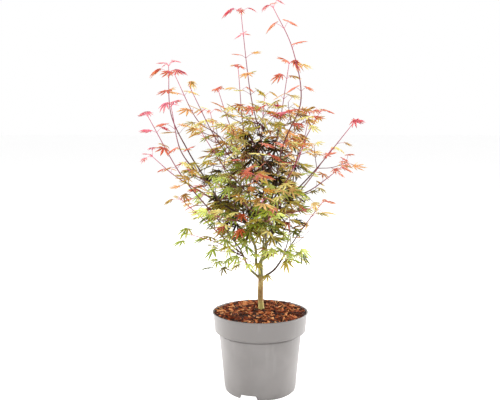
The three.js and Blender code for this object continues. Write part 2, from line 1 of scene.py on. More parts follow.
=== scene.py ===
# A young maple with feathery leaves in a grey nursery pot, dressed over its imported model.
import json
import math
import bpy
import bmesh
import numpy as np
from mathutils import Vector, Matrix, noise

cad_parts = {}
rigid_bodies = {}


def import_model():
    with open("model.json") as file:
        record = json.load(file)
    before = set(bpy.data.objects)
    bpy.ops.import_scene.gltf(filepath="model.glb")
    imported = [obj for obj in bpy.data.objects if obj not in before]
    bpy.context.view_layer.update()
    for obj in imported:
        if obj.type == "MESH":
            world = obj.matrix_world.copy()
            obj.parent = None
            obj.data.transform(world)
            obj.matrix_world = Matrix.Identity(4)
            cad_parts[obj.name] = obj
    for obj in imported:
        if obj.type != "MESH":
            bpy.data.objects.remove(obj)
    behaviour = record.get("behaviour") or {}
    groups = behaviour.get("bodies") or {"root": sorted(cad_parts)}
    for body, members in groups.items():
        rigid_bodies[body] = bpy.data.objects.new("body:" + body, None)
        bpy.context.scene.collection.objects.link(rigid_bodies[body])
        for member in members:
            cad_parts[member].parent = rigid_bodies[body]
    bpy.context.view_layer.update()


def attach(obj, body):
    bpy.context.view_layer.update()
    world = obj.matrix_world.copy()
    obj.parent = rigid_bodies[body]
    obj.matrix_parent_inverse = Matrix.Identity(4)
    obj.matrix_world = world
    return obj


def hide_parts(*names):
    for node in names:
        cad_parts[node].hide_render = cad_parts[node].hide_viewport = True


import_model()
mm = 0.001
up = Vector((0, 0, 1))


# Node trees: one way to add any node, and sums written as plain expressions

class Wire:
    def __init__(self, tree, socket):
        self.tree = tree
        self.socket = socket

    def sum(self, operation, *values):
        return self.tree.add("Math", {"operation": operation}, dict(enumerate(values))).out()

    def __add__(self, other):
        return self.sum("ADD", self, other)

    def __radd__(self, other):
        return self.sum("ADD", other, self)

    def __sub__(self, other):
        return self.sum("SUBTRACT", self, other)

    def __rsub__(self, other):
        return self.sum("SUBTRACT", other, self)

    def __mul__(self, other):
        return self.sum("MULTIPLY", self, other)

    def __truediv__(self, other):
        return self.sum("DIVIDE", self, other)

    def fade(self, low, high):  # 0 below low, 1 above high, smooth between
        return self.tree.add("MapRange", {"interpolation_type": "SMOOTHSTEP"},
                             {"Value": self, "From Min": low, "From Max": high}).out()


class Made:
    def __init__(self, tree, node):
        self.tree = tree
        self.node = node

    def out(self, name=0):
        return Wire(self.tree, self.node.outputs[name])


class Tree:
    def __init__(self, tree):
        self.tree = tree
        self.prefix = "ShaderNode" if tree.bl_idname == "ShaderNodeTree" else "GeometryNode"

    def add(self, kind, settings=None, inputs=None):
        for idname in (self.prefix + kind, "ShaderNode" + kind, "FunctionNode" + kind, kind):
            if hasattr(bpy.types, idname):
                break
        node = self.tree.nodes.new(idname)
        for key, value in (settings or {}).items():
            if key == "stops":
                ramp = node.color_ramp.elements
                while len(ramp) < len(value):
                    ramp.new(0.5)
                for stop, (place, colour) in zip(ramp, value):
                    stop.position = place
                    stop.color = srgb(*colour)
            else:
                setattr(node, key, value)
        for key, value in (inputs or {}).items():
            if isinstance(value, Wire):
                self.tree.links.new(value.socket, node.inputs[key])
            else:
                node.inputs[key].default_value = value
        return Made(self, node)

    def place(self):
        return self.add("TexCoord").out("Object")

    def stretched(self, place, along):  # the place with its height shortened, for a grain that runs upward
        return self.add("Mapping", None, {"Vector": place, "Scale": (1.0, 1.0, along)}).out()

    def cloud(self, place, scale, detail):
        return self.add("TexNoise", None, {"Vector": place, "Scale": scale, "Detail": detail}).out("Fac")

    def cells(self, place, scale):
        return self.add("TexVoronoi", None, {"Vector": place, "Scale": scale}).out("Distance")

    def ramp(self, wire, *stops):
        return self.add("ValToRGB", {"stops": stops}, {"Fac": wire}).out()

    def mixColour(self, share, first, second):
        if not isinstance(second, Wire):
            second = srgb(*second)
        if not isinstance(first, Wire):
            first = srgb(*first)
        return self.add("Mix", {"data_type": "RGBA"}, {0: share, 6: first, 7: second}).out(2)

    def named(self, kind, name):
        return self.add("InputNamedAttribute", {"data_type": kind}, {"Name": name}).out(0)

    def shapes(self, collection):
        return self.add("CollectionInfo", {"transform_space": "ORIGINAL"}, {
            "Collection": collection, "Separate Children": True, "Reset Children": True}).out()


def srgb(red, green, blue):  # 0 to 255 as seen on a screen, to linear light
    values = [c / 255 for c in (red, green, blue)]
    return tuple(c / 12.92 if c <= 0.04045 else ((c + 0.055) / 1.055) ** 2.4 for c in values) + (1.0,)


def newMaterial(name, **sockets):
    material = bpy.data.materials.new(name)
    material.use_nodes = True
    tree = Tree(material.node_tree)
    shader = next(n for n in material.node_tree.nodes if n.type == "BSDF_PRINCIPLED")
    for key, value in sockets.items():
        shader.inputs[key.replace("_", " ")].default_value = value
    return material, tree, shader


def feed(tree, shader, name, wire):
    tree.tree.links.new(wire.socket, shader.inputs[name])


def feedRelief(tree, shader, relief, height):
    strength, distance = relief
    bump = tree.add("Bump", None, {"Strength": strength, "Distance": distance, "Height": height}).out()
    feed(tree, shader, "Normal", bump)


def dress(mesh, material):
    mesh.materials.clear()
    mesh.materials.append(material)


# Small helpers for meshes

def newObject(name, mesh):
    thing = bpy.data.objects.new(name, mesh)
    bpy.context.scene.collection.objects.link(thing)
    return thing


def shadeSmooth(mesh, smooth=True):
    mesh.polygons.foreach_set("use_smooth", [smooth] * len(mesh.polygons))


def meshFrom(name, points, faces, smooth=True):
    mesh = bpy.data.meshes.new(name)
    mesh.from_pydata([tuple(p) for p in points], [], faces)
    mesh.update()
    shadeSmooth(mesh, smooth)
    return mesh


def ring(radius, around):
    for k in range(around):
        a = 2 * math.pi * k / around
        yield radius * math.cos(a), radius * math.sin(a)


def bands(count, around):  # the faces between rings of points
    for i in range(count):
        for k in range(around):
            a, b = i * around + k, i * around + (k + 1) % around
            yield a, b, b + around, a + around


def giveValues(mesh, name, kind, values):
    mesh.attributes.new(name, kind, "POINT")
    mesh.attributes[name].data.foreach_set("vector" if kind == "FLOAT_VECTOR" else "value", values)


def gather(name, meshes):  # a collection with one object for each mesh
    collection = bpy.data.collections.new(name)
    for i, mesh in enumerate(meshes):
        collection.objects.link(bpy.data.objects.new("%s%d" % (name, i), mesh))
    return collection


def faceOutward(mesh):
    work = bmesh.new()
    work.from_mesh(mesh)
    bmesh.ops.remove_doubles(work, verts=work.verts, dist=1e-6)
    bmesh.ops.recalc_face_normals(work, faces=work.faces)
    work.to_mesh(mesh)
    work.free()


def bake(thing):  # the evaluated shape as a plain mesh, with no modifier left
    bpy.context.view_layer.update()
    graph = bpy.context.evaluated_depsgraph_get()
    mesh = bpy.data.meshes.new_from_object(thing.evaluated_get(graph))
    thing.modifiers.clear()
    thing.data = mesh
    return thing


def runTree(thing, tree, **values):  # a Geometry Nodes tree on a thing, its named inputs set by identifier
    modifier = thing.modifiers.new(tree.name, "NODES")
    modifier.node_group = tree
    for item in tree.interface.items_tree:
        if item.item_type == "SOCKET" and item.in_out == "INPUT" and item.name in values:
            modifier[item.identifier] = values[item.name]
    return bake(thing)


def newGeometryTree(name, inputs):
    tree = bpy.data.node_groups.new(name, "GeometryNodeTree")
    tree.interface.new_socket("Geometry", in_out="INPUT", socket_type="NodeSocketGeometry")
    for label, kind, value in inputs:
        socket = tree.interface.new_socket(label, in_out="INPUT", socket_type="NodeSocket" + kind)
        if value is not None:
            socket.default_value = value
    tree.interface.new_socket("Geometry", in_out="OUTPUT", socket_type="NodeSocketGeometry")
    build = Tree(tree)
    source = build.add("NodeGroupInput")
    return tree, build, source


def endTree(build, geometry, material):  # every tree ends in Realize Instances and Set Material
    real = build.add("RealizeInstances", None, {"Geometry": geometry}).out()
    dressed = build.add("SetMaterial", None, {"Geometry": real, "Material": material}).out()
    build.add("NodeGroupOutput", None, {"Geometry": dressed})


def settle(thing, nodes):
    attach(thing, "root")
    if nodes:
        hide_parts(*nodes)
    return thing


# Camera, light and floor

view = {
    "place": (-0.0205, -1.72, 0.615),
    "downward": 7.5,            # degrees
    "focal": 878,               # in pixels
    "frameWidth": 500,          # in pixels
    "floor": (253, 253, 253),
    "floorSide": 9.0,
    "underPotPaintedGlow": 1.2,            # painted light: the floor below the pot glows white, lifting the pot's shadow there and in its notches to the white around it
    "underPotReach": (0.066, 0.069),
    "sky": 1.0,
    "aim": (0, 0, 0.4),         # what the lamps are turned to
    "lamps": {                  # place, size, power
        "leftLamp": ((-1.6, 0.75, 0.7), 1.2, 41),
        "rightLamp": ((1.6, 0.8, 0.7), 1.2, 42),
        "frontLamp": ((-0.9, -2.1, 2.1), 0.5, 10),
        "topLamp": ((0.1, 0.2, 2.4), 0.6, 30),
        "lowLamp": ((-0.6, -1.6, 0.12), 0.3, 1.2),
    },
}


def setStage():
    camera = bpy.data.cameras.new("camera")
    camera.sensor_width = 36
    camera.lens = view["focal"] / view["frameWidth"] * camera.sensor_width
    camera.clip_end = 50
    holder = newObject("camera", camera)
    holder.location = view["place"]
    holder.rotation_euler = (math.radians(90 - view["downward"]), 0, 0)
    bpy.context.scene.camera = holder
    bpy.context.scene.view_settings.view_transform = "Standard"

    world = bpy.data.worlds.new("studio")
    bpy.context.scene.world = world
    world.use_nodes = True
    background = world.node_tree.nodes["Background"]
    background.inputs["Color"].default_value = (1, 1, 1, 1)
    background.inputs["Strength"].default_value = view["sky"]

    for name, (place, size, power) in view["lamps"].items():
        lamp = bpy.data.lights.new(name, "AREA")
        lamp.shape = "DISK"
        lamp.size = size
        lamp.energy = power
        lampHolder = newObject(name, lamp)
        lampHolder.location = place
        lampHolder.rotation_euler = (Vector(view["aim"]) - Vector(place)).to_track_quat("-Z", "Y").to_euler()

    side = view["floorSide"]
    corners = [(-side, -side, 0), (side, -side, 0), (side, side, 0), (-side, side, 0)]
    floor = newObject("floor", meshFrom("floor", corners, [(0, 1, 2, 3)]))
    material, tree, shader = newMaterial("paleFloorWithPaintedGlow", Roughness=0.9)
    shader.inputs["Base Color"].default_value = srgb(*view["floor"])
    # painted light: the floor glows white near the pot's axis, where the pot's shadow falls
    shader.inputs["Emission Strength"].default_value = view["underPotPaintedGlow"]
    spot = tree.add("SeparateXYZ", None, {"Vector": tree.place()})
    away = spot.out("X") * spot.out("X") + spot.out("Y") * spot.out("Y")
    below = 1 - away.fade(*(reach ** 2 for reach in view["underPotReach"]))
    feed(tree, shader, "Emission Color", tree.mixColour(below, (0, 0, 0), (255, 255, 255)))
    dress(floor.data, material)
    print("stage set")


# Growth: the same limbs, shoots and rule as the solids, in millimetres, carried to finer twigs

trunkShape = {
    "path": [(2.6, 0, 167), (0.2, 0, 196), (1, 0, 226), (0, 0, 262)],
    "radii": [4.7, 5.9, 5.3, 4.7],
    "flare": 1.7,
    "flareHeight": 6,
}

limbTable = {  # carrier, how far below its tip, points passed, tip, radii
    "bough_left": ("trunk", 10, [(-11, -2, 298)], (-36, -15, 361), (3.0, 2.2)),
    "bough_right": ("trunk", 0, [(8, 3, 280)], (12, 8, 299), (3.9, 3.4)),
    "bough_back": ("trunk", 14, [(7, 25, 303)], (8, 40, 344), (2.1, 1.7)),
    "bough_low_left": ("trunk", 34, [(-23, -14, 256)], (-39, -25, 294), (2.7, 1.8)),
    "bough_low_right": ("trunk", 36, [(30, -6, 252)], (53, -12, 289), (2.5, 1.7)),
    "bough_far_left": ("bough_left", 0, [(-76, -25, 387)], (-108, -33, 436), (2.1, 1.6)),
    "bough_centre_left": ("bough_left", 9, [(-38, 12, 410)], (-40, 32, 455), (1.8, 1.4)),
    "bough_right_high": ("bough_right", 0, [(33, 17, 332)], (63, 34, 399), (2.4, 1.7)),
    "bough_front_right": ("bough_right", 7, [(11, -32, 348)], (22, -50, 401), (2.4, 1.8)),
    "bough_front": ("bough_right", 14, [(-2, -26, 322)], (-10, -52, 352), (2.0, 1.5)),
    "bough_front_high": ("bough_front", 0, [(-18, -66, 384)], (-24, -74, 418), (1.5, 1.3)),
    "bough_centre": ("bough_back", 0, [(8, 42, 384)], (5, 38, 424), (1.7, 1.4)),
    "bough_back_right": ("bough_back", 7, [(32, 66, 362)], (50, 92, 392), (1.6, 1.3)),
    "bough_back_left": ("bough_back", 13, [(-20, 68, 355)], (-46, 94, 386), (1.6, 1.3)),
}

shootTable = {  # carrier, how far below its tip, points passed, tip, bare foot, tint family
    "foliage_left_long": ("bough_low_left", 0, [(-86, -50, 362), (-149, -80, 445)], (-208, -98, 556), 70, "rose"),
    "foliage_left_low": ("bough_low_left", 8, [(-92, -36, 338)], (-152, -52, 396), 36, "olive"),
    "foliage_left_skirt": ("bough_low_left", 16, [(-80, -46, 310)], (-132, -66, 330), 34, "green"),
    "foliage_foot_left": ("bough_low_left", 23, [(-26, -48, 280)], (-34, -86, 286), 28, "green"),
    "foliage_right_low": ("bough_low_right", 0, [(83, -18, 335)], (120, -30, 388), 30, "orange"),
    "foliage_foot_right": ("bough_low_right", 9, [(54, -46, 290)], (50, -86, 294), 28, "green"),
    "foliage_right_skirt": ("bough_low_right", 17, [(58, 34, 310)], (62, 78, 350), 30, "olive"),
    "foliage_left_tall": ("bough_far_left", 0, [(-139, -38, 488), (-171, -43, 560)], (-174, -46, 650), 40, "rose"),
    "foliage_left_second": ("bough_far_left", 8, [(-150, -72, 490)], (-166, -92, 574), 36, "rose"),
    "foliage_left_mid": ("bough_far_left", 16, [(-112, -88, 440)], (-132, -140, 462), 34, "olive"),
    "foliage_left_back": ("bough_left", 18, [(-110, 26, 396), (-172, 56, 430)], (-222, 84, 468), 60, "rose"),
    "foliage_upper_left": ("bough_centre_left", 0, [(-85, 55, 513), (-128, 60, 545)], (-172, 66, 634), 36, "orange"),
    "foliage_inner_left": ("bough_centre_left", 8, [(-88, 8, 510)], (-138, -8, 612), 34, "olive"),
    "foliage_plume_left": ("bough_centre_left", 15, [(-50, 70, 500), (-68, 78, 550)], (-84, 80, 600), 34, "orange"),
    "foliage_plume": ("bough_centre", 7, [(-30, 40, 500)], (-44, 42, 646), 60, "orange"),
    "foliage_leader": ("bough_centre", 0, [(2, 2, 500), (-20, -4, 600)], (-38, -8, 752), 50, "rose"),
    "foliage_upper_right": ("bough_centre", 14, [(34, 34, 510)], (57, 40, 656), 60, "orange"),
    "foliage_back_high": ("bough_centre", 21, [(4, 92, 500)], (10, 128, 592), 50, "olive"),
    "foliage_right_upper": ("bough_right_high", 0, [(76, 42, 475)], (120, 54, 560), 40, "orange"),
    "foliage_right_long": ("bough_right_high", 8, [(112, 4, 452)], (178, -22, 540), 40, "rose"),
    "foliage_right_mid": ("bough_right_high", 16, [(98, -26, 412)], (152, -80, 462), 36, "orange"),
    "foliage_right_back": ("bough_right_high", 24, [(98, 66, 418)], (148, 98, 482), 36, "olive"),
    "foliage_right_tall": ("bough_front_right", 0, [(43, -72, 505), (74, -82, 585), (58, -78, 680)],
                           (22, -70, 756), 50, "rose"),
    "foliage_front_high": ("bough_front_right", 9, [(52, -110, 448)], (76, -142, 506), 34, "olive"),
    "foliage_front_low": ("bough_front", 6, [(10, -104, 362)], (18, -160, 380), 34, "green"),
    "foliage_front_centre": ("bough_front", 20, [(-8, -84, 366)], (2, -132, 404), 24, "olive"),
    "foliage_front_left": ("bough_front", 12, [(-58, -98, 366)], (-92, -150, 380), 34, "green"),
    "foliage_front_right": ("bough_front_right", 18, [(52, -84, 376)], (96, -132, 392), 34, "olive"),
    "foliage_front_mid": ("bough_front_high", 0, [(-18, -112, 440)], (-8, -162, 452), 30, "orange"),
    "foliage_front_upper": ("bough_front_high", 8, [(-70, -76, 462)], (-112, -94, 530), 32, "olive"),
    "foliage_back_right_low": ("bough_back_right", 12, [(72, 128, 366)], (84, 164, 354), 30, "green"),
    "foliage_back_right_mid": ("bough_back_right", 6, [(48, 140, 432)], (52, 188, 452), 30, "olive"),
    "foliage_back_right_high": ("bough_back_right", 0, [(84, 118, 466)], (106, 140, 556), 36, "orange"),
    "foliage_back_left_low": ("bough_back_left", 12, [(-84, 128, 378)], (-122, 162, 378), 30, "green"),
    "foliage_back_left_mid": ("bough_back_left", 6, [(-46, 142, 428)], (-54, 188, 448), 30, "olive"),
    "foliage_back_left_high": ("bough_back_left", 0, [(-84, 120, 462)], (-104, 142, 556), 36, "orange"),
}

growth = {
    "seed": 4021,
    "forkRoom": (7, 0.75, 0.7), # beyond the carrier's radius: reach of a fork's first bend, along and outward
    "stemTipRadius": 0.62,
    "stemFoot": (0.95, 0.95, 260),      # share of its carrier's tip at most, thinnest, length that adds 1 to it
    "stemStep": 9,              # of the drawn line
    "lastNode": 14,             # from the tip
    "nodeStep": (39, 26),       # from the open outskirts to the crowded heart
    "nodeJitter": 7,
    "bareShare": 0.4,           # of the solids' bare foot, for these finer twigs start sooner
    "reach": 96,
    "borderOverlap": 26,
    "heart": ((-6, -2, 420), (80, 84, 133)),   # middle and radii of the crowded part of the crown
    "heartTaper": 0.16,         # how much narrower it is one radius below its middle
    "heartFade": (0.7, 1.45),
    "twigCrowd": 0.22,          # side twigs grow where the crown is at least this crowded
    "everyCrowd": 0.8,          # and at every node, not every second one, where it is more than this
    "twigLength": (34, 62),
    "twigRadii": (0.8, 0.5),
    "twigYouth": (0.75, 0.6),   # at its shoot's tip, how much less at the shoot's foot
    "twigSpread": 52,           # degrees from the shoot
    "twigSpreadJitter": 16,
    "twigRise": 0.3,            # how much a twig's outer half bends upward
    "twigPairs": 1.2,           # pairs of leaves that a crowded place adds to a twig
    "twigLeaf": 0.86,           # size of leaf along a twig, and at its tip
    "twigTipLeaf": 0.95,
    "twigTipYouth": 0.15,       # how much younger the leaves at its tip are
    "shootTipLeaves": ((0.9, 0.7), (0.5, 1.6)),    # size and forward lean of the last two pairs
    "forward": 0.6,             # how much a pair of leaves leans forward along its stem
    "pairRise": 0.25,
    "petiole": (12, 22),
    "petioleRise": 0.45,        # at most
    "petioleSag": (0.55, 0.06), # how far along it its bend is, and how high
    "petioleRadii": (0.45, 0.32),
    "petioleYouth": (1.0, 0.25),
    "leafLength": (18, 30),
    "leafSpread": 0.38,         # how much larger leaves are in the heart
    "lush": {"green": (0.72, 1.1)},    # share of the node step and size of leaf in a family's own sprays
    "openDrop": (-14, 26),
    "heartDrop": (-10, 48),
    "roll": (56, 80),           # from the open outskirts to the crowded heart
    "yaw": 40,
}


def seeded(seed):
    state = seed & 0xFFFFFFFF

    def draw():
        nonlocal state
        state = (state + 0x6D2B79F5) & 0xFFFFFFFF
        t = state
        t = ((t ^ (t >> 15)) * (t | 1)) & 0xFFFFFFFF
        t ^= (t + (((t ^ (t >> 7)) * (t | 61)) & 0xFFFFFFFF)) & 0xFFFFFFFF
        return ((t ^ (t >> 14)) & 0xFFFFFFFF) / 4294967296
    return draw


def between(draw, span):
    return span[0] + (span[1] - span[0]) * draw()


class Curve:  # a smooth path through points, sampled evenly along its length
    def __init__(self, points, count=200):
        points = [Vector(p) for p in points]
        padded = [points[0] * 2 - points[1]] + points + [points[-1] * 2 - points[-2]]
        raw = []
        for i in range(count + 1):
            whole = i / count * (len(points) - 1)
            k = min(int(whole), len(points) - 2)
            t = whole - k
            a, b, c, d = padded[k:k + 4]
            raw.append(0.5 * (2 * b + (c - a) * t + (2 * a - 5 * b + 4 * c - d) * t * t
                              + (3 * b - a - 3 * c + d) * t ** 3))
        self.raw = raw
        self.steps = [0.0]
        for first, second in zip(raw, raw[1:]):
            self.steps.append(self.steps[-1] + (second - first).length)
        self.length = self.steps[-1]

    def at(self, distance):
        distance = max(0.0, min(self.length, distance))
        i = max(1, int(np.searchsorted(self.steps, distance)))
        span = self.steps[i] - self.steps[i - 1]
        t = (distance - self.steps[i - 1]) / span if span else 0
        return self.raw[i - 1].lerp(self.raw[i], t)

    def heading(self, distance):
        return (self.at(distance + 1.0) - self.at(distance - 1.0)).normalized()

    def spaced(self, count):
        return [self.at(self.length * i / count) for i in range(count + 1)]


def childCurve(carrier, below, via, tip):
    distance = carrier["curve"].length - below
    start = carrier["curve"].at(distance)
    points = [start]
    if below > 0:
        along = carrier["curve"].heading(distance)
        out = Vector(via[0]) - start
        out = (out - along * out.dot(along)).normalized()
        room, onward, outward = growth["forkRoom"]
        swing = carrier["radii"][0] + room
        points.append(start + along * swing * onward + out * swing * outward)
    return Curve(points + [Vector(p) for p in via] + [Vector(tip)])


def twoSides(tangent, angle):  # two opposite directions across a stem
    level = tangent.cross(up)
    if level.length < 0.03:
        level = Vector((1, 0, 0))
    level.normalize()
    upward = level.cross(tangent)
    return [level * math.cos(angle + turn) + upward * math.sin(angle + turn) for turn in (0, math.pi)]


def growLimbs():
    trunkCurve = Curve(trunkShape["path"])
    limbs = {"trunk": {"curve": trunkCurve, "radii": (trunkShape["radii"][0], trunkShape["radii"][3])}}
    for name, (carrier, below, via, tip, radii) in limbTable.items():
        limbs[name] = {"curve": childCurve(limbs[carrier], below, via, tip), "radii": radii}
    stems = {}
    for name, (carrier, below, via, tip, bare, family) in shootTable.items():
        curve = childCurve(limbs[carrier], below, via, tip)
        share, thinnest, thickening = growth["stemFoot"]
        foot = min(limbs[carrier]["radii"][1] * share, thinnest + curve.length / thickening)
        stems[name] = {"curve": curve, "radii": (foot, growth["stemTipRadius"]), "bare": bare, "family": family,
                       "guide": np.array(curve.spaced(24))}
    return limbs, stems


class Space:  # a shoot's own space: within reach of its stem, and hardly nearer to another
    def __init__(self, name, stems):
        self.own = stems[name]["guide"]
        self.others = np.stack([s["guide"] for key, s in stems.items() if key != name])

    def holds(self, point):
        p = np.array(point)
        own = np.sqrt(((self.own - p) ** 2).sum(1)).min()
        if own > growth["reach"]:
            return False
        nearest = np.sqrt(((self.others - p) ** 2).sum(2).min())
        return nearest > own - growth["borderOverlap"]


spurs = {"seed": 5000, "first": 14, "step": 26, "jitter": 8, "lowest": 284, "age": 0.75}


def growSpurs(plant, limbs, stems):  # short leafy twigs on the boughs' upper parts
    heads = {name: s["curve"].at(0) for name, s in stems.items()}
    for index, (name, limb) in enumerate(limbs.items()):
        if name == "trunk":
            continue
        draw = seeded(growth["seed"] + spurs["seed"] + index * 131)
        curve = limb["curve"]
        distance = spurs["first"]
        angle = draw() * math.pi
        while distance < curve.length - 4:
            at, tangent = curve.at(distance), curve.heading(distance)
            if at.z > spurs["lowest"]:
                nearest = min(heads, key=lambda key: (heads[key] - at).length)
                for out in twoSides(tangent, angle):
                    growTwig(plant, stems[nearest], draw, at, tangent, out, spurs["age"])
            angle += math.pi / 2
            distance += spurs["step"] + spurs["jitter"] * (draw() - 0.5)


class Plant:  # leaves, and lines: the points, radii and youth of stems, twigs and petioles
    def __init__(self):
        self.leaves = []
        self.lines = []


knots = (  # fuller places of the crown, seen from the front: middle (x, z), reach in millimetres
    ((44, 532), 27), ((10, 506), 22), ((100, 454), 32), ((56, 352), 24), ((44, 297), 22), ((-16, 316), 22),
    ((-52, 284), 22),
)
knotCrowd = (0.85, 1.7)      # the most that a knot crowds its middle, and how steeply that falls to its edge
gaps = (  # thinner places: middle (x, z), reach, share of the leaves that are left out
    ((100, 396), 30, 0.6), ((130, 400), 22, 0.3), ((128, 505), 24, 0.55), ((-138, 466), 22, 0.45),
    ((-100, 300), 24, 0.6), ((-142, 425), 18, 0.4), ((-98, 545), 28, 0.45), ((4, 618), 30, 0.4),
    ((100, 302), 28, 0.8), ((-98, 345), 22, 0.3), ((66, 266), 26, 0.6), ((98, 280), 24, 0.7),
    ((-140, 607), 24, 0.6), ((-180, 568), 22, 0.4), ((60, 652), 24, 0.5), ((-108, 312), 20, 0.4),
    ((-84, 484), 34, 0.3), ((-98, 266), 22, 0.6), ((24, 288), 24, 0.35), ((138, 450), 24, 0.4),
    ((56, 688), 26, 0.5),
)


def crowding(point):  # 1 in the heart of the crown and in its knots, 0 at its outskirts
    most, steepness = knotCrowd
    nearest = [math.hypot(point[0] - x, point[2] - z) / reach for (x, z), reach in knots]
    return max(heartCrowding(point), *(max(0.0, min(most, steepness * (1 - away))) for away in nearest))


def leftOut(point, draw):  # thins the leaves where the sky shows through
    chance = draw()
    return any(math.hypot(point[0] - x, point[2] - z) < reach and chance < share for (x, z), reach, share in gaps)


def heartCrowding(point):
    middle, radii = growth["heart"]
    x, y, z = ((c - m) / r for c, m, r in zip(point, middle, radii))
    width = max(0.5, min(1.3, 1 + growth["heartTaper"] * z))
    away = math.hypot(x / width, y / width, z)
    low, high = growth["heartFade"]
    return max(0.0, min(1.0, (high - away) / (high - low)))


def blend(pair, share):
    return pair[0] + (pair[1] - pair[0]) * share


def growLeaf(plant, shoot, draw, at, out, size, age):
    crowd = crowding(at)
    size *= (1 + growth["leafSpread"] * heartCrowding(at)) * sprayAt(at)[1]
    petiole = between(draw, growth["petiole"]) * size
    length = between(draw, growth["leafLength"]) * size
    limits = [blend(pair, crowd) for pair in zip(growth["openDrop"], growth["heartDrop"])]
    drop = math.radians(between(draw, limits))
    roll = math.radians(blend(growth["roll"], crowd) * (draw() - 0.5))
    yaw = math.radians(growth["yaw"] * (draw() - 0.5))
    pick = draw()
    tone = draw()
    flat = Vector((out.x, out.y, 0))
    if flat.length < 0.01:
        flat = Vector((1, 0, 0))
    flat = Matrix.Rotation(yaw, 3, up) @ flat.normalized()
    midrib = flat * math.cos(drop) - up * math.sin(drop)
    normal = flat * math.sin(drop) + up * math.cos(drop)
    normal = Matrix.Rotation(roll, 3, midrib) @ normal
    base = at + out * petiole
    if leftOut(base + midrib * length * 0.5, draw) or not shoot["space"].holds(base + midrib * length):
        return
    plant.leaves.append({"base": base, "midrib": midrib, "normal": normal, "length": length, "crowd": crowd,
                         "family": shoot["family"], "age": age, "pick": pick, "tone": tone})
    along, rise = growth["petioleSag"]
    sag = at.lerp(base, along) + up * petiole * rise
    thick, thin = growth["petioleRadii"]
    youth = blend(growth["petioleYouth"], min(1, age * 1.1))
    plant.lines.append(([at, sag, base], [thick, thin, thin], youth))


def growPair(plant, shoot, draw, at, tangent, angle, size, forward, age):
    for side in twoSides(tangent, angle):
        out = side + tangent * forward + up * growth["pairRise"]
        out.normalize()
        out.z = min(out.z, growth["petioleRise"])
        out.normalize()
        growLeaf(plant, shoot, draw, at, out, size, age)


def growTwig(plant, shoot, draw, at, tangent, out, age):
    crowd = crowding(at)
    length = between(draw, growth["twigLength"])
    spread = math.radians(growth["twigSpread"] + growth["twigSpreadJitter"] * (draw() - 0.5))
    heading = (tangent * math.cos(spread) + out * math.sin(spread)).normalized()
    bend = (heading + up * growth["twigRise"]).normalized()
    joint = at + heading * length * 0.5
    tip = joint + bend * length * 0.5
    if not shoot["space"].holds(tip):
        return
    line = Curve([at, joint, tip], 12)
    youngest, aging = growth["twigYouth"]
    radii = [blend(growth["twigRadii"], i / 6) for i in range(7)]
    plant.lines.append((line.spaced(6), radii, youngest - aging * age))
    angle = draw() * math.pi
    pairs = 2 + round(growth["twigPairs"] * crowd)
    forward = growth["forward"]
    for i in range(1, pairs):
        where = line.length * (0.2 + 0.8 * i / pairs)
        growPair(plant, shoot, draw, line.at(where), line.heading(where), angle, growth["twigLeaf"], forward, age)
        angle += math.pi / 2
    growPair(plant, shoot, draw, line.at(line.length - 1), line.heading(line.length), angle, growth["twigTipLeaf"],
             forward, max(0, age - growth["twigTipYouth"]))


def growShoot(plant, name, stems, index):
    shoot = stems[name]
    shoot["space"] = Space(name, stems)
    curve = shoot["curve"]
    draw = seeded(growth["seed"] + index * 97)
    angle = draw() * math.pi
    closer, larger = growth["lush"].get(shoot["family"], (1, 1))
    distance = shoot["bare"] * growth["bareShare"]
    node = 0
    while distance < curve.length - growth["lastNode"]:
        share = distance / curve.length
        at, tangent = curve.at(distance), curve.heading(distance)
        age = 1 - share
        crowd = crowding(at)
        if crowd > growth["twigCrowd"] and (node % 2 == 0 or crowd > growth["everyCrowd"]):
            for out in twoSides(tangent, angle):
                growTwig(plant, shoot, draw, at, tangent, out, age)
        else:
            growPair(plant, shoot, draw, at, tangent, angle, (1.0 - 0.1 * share) * larger, growth["forward"], age)
        angle += math.pi / 2
        distance += closer * blend(growth["nodeStep"], crowd) + growth["nodeJitter"] * (draw() - 0.5)
        node += 1
    end = curve.heading(curve.length)
    (size, forward), (lastSize, lastForward) = growth["shootTipLeaves"]
    growPair(plant, shoot, draw, curve.at(curve.length - 1), end, angle, size * larger, forward, 0.0)
    growPair(plant, shoot, draw, curve.at(curve.length), end, angle + math.pi / 2, lastSize, lastForward, 0.0)
    count = max(8, int(curve.length / growth["stemStep"]))
    radii = [blend(shoot["radii"], i / count) for i in range(count + 1)]
    plant.lines.append((curve.spaced(count), radii, None))


# Leaves: a few drawn shapes, dealt out to the grown places by Geometry Nodes

leafShape = {
    "lobes": ((0, 1.0), (33, 0.93), (68, 0.72), (112, 0.42)),   # degrees from the midrib, share of its length
    "jitter": (7, 0.14),        # of a lobe's angle and length
    "curl": 6,                  # of its tip, in degrees
    "foot": (34, 0.05),         # the outline's ends: degrees beyond the last lobe, distance from the petiole
    "notch": 0.21,
    "lobeWidth": 0.084,
    "widest": 0.46,             # along the lobe
    "neck": (0.76, 0.42, 0.7),  # where the lobe narrows to its tip: along it, share of its width, of its fold
    "thickness": 0.016,
    "ridge": 0.03,
    "heartBulge": 0.012,
}

leafKinds = (  # spread of the lobes, droop, fold of each lobe, width of the lobes, web between them, seed
    (1.00, 0.15, 0.05, 1.00, 1.0, 1),
    (0.95, 0.30, 0.07, 1.12, 1.2, 2),
    (1.05, 0.06, 0.04, 0.94, 1.0, 3),
    (0.92, 0.22, 0.06, 1.05, 1.1, 7),
    (0.80, 0.50, 0.09, 1.10, 1.1, 4),
    (0.88, 0.26, 0.08, 1.10, 1.3, 5),
    (0.55, 0.80, 0.10, 1.00, 1.0, 6),
    (1.00, 0.34, 0.05, 1.14, 1.25, 8),
    (0.94, 0.60, 0.08, 1.10, 1.2, 9),
)


